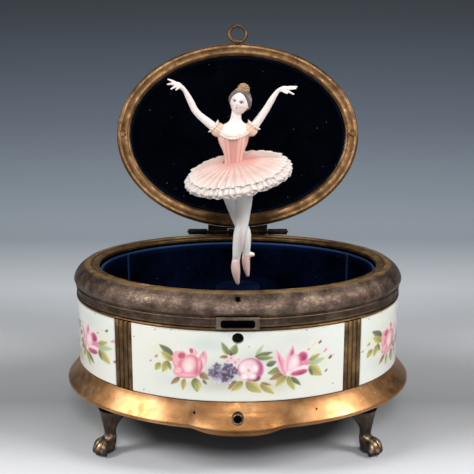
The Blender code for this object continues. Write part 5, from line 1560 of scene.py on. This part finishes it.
def make_tutu():
    """A pleated top skirt over three frilled layers of net."""
    top = [skirt_layer(4.7, 27.0, 46, 32, 0.42, 64, 0.35, -0.3, 1)]
    under = [
        skirt_layer(16.0, 29.4, 20, 32, 0.5, 56, 0.5, 0.6, 2),
        skirt_layer(13.0, 29.2, 14, 28, 0.6, 50, 0.6, 1.9, 3),
        skirt_layer(10.0, 28.8, 12, 26, 0.5, 46, 0.6, 3.1, 4),
    ]
    for name, layers, stands_for in (("tutu_top", top, ["figure_tutu"]), ("tutu_under", under, [])):
        shape = merged(*[layer[0] for layer in layers])
        radius, fold, hem = np.vstack([layer[1] for layer in layers]).T
        made = piece(name, moved(shape, SKIRT_PLACE), "figure", LACE, stands_for, 80.0)
        warm, mid, pale = rgb(216, 158, 147), rgb(228, 196, 186), rgb(236, 224, 217)
        near = unit((radius - 6.0) / 8.0)[:, None]
        far = unit((radius - 20.0) / 6.0)[:, None]
        colour = warm + (mid - warm) * near
        colour = colour + (pale - colour) * far
        if not stands_for:
            colour = colour + (pale - colour) * 0.85
        # painted shade: deeper pink in the pleats' valleys
        valley_shade = unit(-fold)[:, None] ** 2
        colour = colour + (rgb(210, 142, 130) - colour) * valley_shade * (0.36 * (1 - far) + 0.1)
        # painted shade: grey in the hem's creases
        crease_shade = unit(-hem)[:, None] ** 2 * far
        colour = colour + (rgb(178, 160, 154) - colour) * crease_shade * 0.32
        at = places(made)
        right = unit((at[:, 0] - 2.0) / 6.0) * unit((at[:, 2] - 142.5) / 2.5)
        right = right * unit((14.0 - radius) / 6.0)
        colour = colour + (rgb(222, 128, 116) - colour) * right[:, None] * 0.5
        colour = colour * (0.96 + 0.04 * np.sin(np.arctan2(at[:, 1], at[:, 0]) * 160))[:, None]
        painted(made, colour)
        thickened(made, NET_THICK)


# The stage, the lights and the camera


def make_stage():
    """A pale floor that curves up into a backdrop, with painted light in its colour: a painted shadow under
    the box, and darker towards its top as painted falloff of the light.
    """
    finish = Finish("paper", Roughness=0.85, Specular_IOR_Level=0.2)
    finish.done(finish.attribute(), None, finish.noise(600, 3.0), 0.05)
    line = [(y, 0.0) for y in (-1.6, -0.5, -0.2, -0.09, -0.06, -0.03, 0.0, 0.05, 0.12, 0.18, 0.24, 0.3,
        0.37, 0.45)]
    line += [(0.45 + 0.3 * math.sin(a), 0.3 - 0.3 * math.cos(a)) for a in np.linspace(0.1, math.pi / 2, 14)]
    line += [(0.75, 1.9)]
    line = np.array(line)
    points = np.array([[(x, y, z - 0.00005) for y, z in line] for x in (-2.2, 2.2)])
    mesh = bpy.data.meshes.new("backdrop")
    shape = skin(points)
    mesh.from_pydata(shape[0].tolist(), [], shape[1])
    mesh.shade_smooth()
    mesh.materials.append(finish.material)
    paper = linked("backdrop", mesh)
    along = np.array([y if z == 0 else 0.45 + z for y, z in line])
    # painted light: the colours along the floor and up the backdrop hold the shadow under the box and the
    # light's falloff towards the top
    places_of = [-1.6, -0.09, -0.04, 0.0, 0.05, 0.12, 0.24, 0.45, 0.48, 0.55, 0.6, 0.66, 0.73, 0.9]
    reds = [0.7, 0.7, 0.46, 0.3, 0.36, 0.5, 0.52, 0.31, 0.23, 0.13, 0.095, 0.062, 0.039, 0.03]
    greens = [0.71, 0.71, 0.465, 0.305, 0.365, 0.515, 0.54, 0.35, 0.27, 0.155, 0.116, 0.077, 0.045, 0.035]
    blues = [0.74, 0.74, 0.48, 0.315, 0.375, 0.54, 0.575, 0.395, 0.31, 0.19, 0.146, 0.098, 0.055, 0.043]
    shade = np.column_stack([np.interp(along, places_of, channel) for channel in (reds, greens, blues)])
    painted(paper, np.vstack([shade, shade]))


def softbox(name, place, target, size, energy, colour=(1.0, 1.0, 1.0)):
    light = bpy.data.lights.new(name, "AREA")
    light.shape = "RECTANGLE"
    light.size, light.size_y = size
    light.energy = energy
    light.color = colour
    lamp = linked(name, light)
    lamp.location = place
    lamp.rotation_euler = (Vector(target) - Vector(place)).to_track_quat("-Z", "Y").to_euler()


def make_lights():
    """Soft boxes at both sides and in front, a faint one behind, and a dim grey room."""
    middle = (0.0, CENTRE_Y, 0.09)
    softbox("left_box", (-0.84, -0.36, 0.84), middle, (0.3, 0.42), 7.6, (1.0, 0.99, 0.96))
    softbox("right_box", (0.82, -0.34, 0.86), middle, (0.3, 0.42), 8.0, (1.0, 0.99, 0.97))
    softbox("front_box", (0.06, -1.04, 0.88), middle, (0.36, 0.3), 7.0)
    softbox("back_box", (0.0, 0.55, 0.9), middle, (0.5, 0.2), 1.2)
    world = bpy.data.worlds.new("studio")
    world.use_nodes = True
    world.node_tree.nodes["Background"].inputs["Color"].default_value = (0.8, 0.82, 0.85, 1.0)
    world.node_tree.nodes["Background"].inputs["Strength"].default_value = 0.24
    bpy.context.scene.world = world
    bpy.context.scene.view_settings.view_transform = "Standard"


def make_camera():
    """A view from in front, a little above the open lid's middle."""
    data = bpy.data.cameras.new("camera")
    data.sensor_width = 36.0
    data.lens = 61.27
    camera = linked("camera", data)
    camera.location = (-0.00041, CENTRE_Y - 0.4348, 0.1987)
    camera.rotation_euler = (math.radians(90.0 - 12.34), 0.0, 0.0)
    bpy.context.scene.camera = camera


make_collar()
make_bezel()
make_pilasters()
make_skirt()
make_feet()
make_enamel()
make_catch()
make_catch_spring()
make_linings()
make_floor()
make_lid()
make_lid_lining()
make_lid_ring()
make_hinge()
make_movement()
make_legs()
make_body()
make_head()
make_hair()
make_arms()
make_lace()
make_tutu()
make_stage()
make_lights()
make_camera()

bpy.context.view_layer.update()
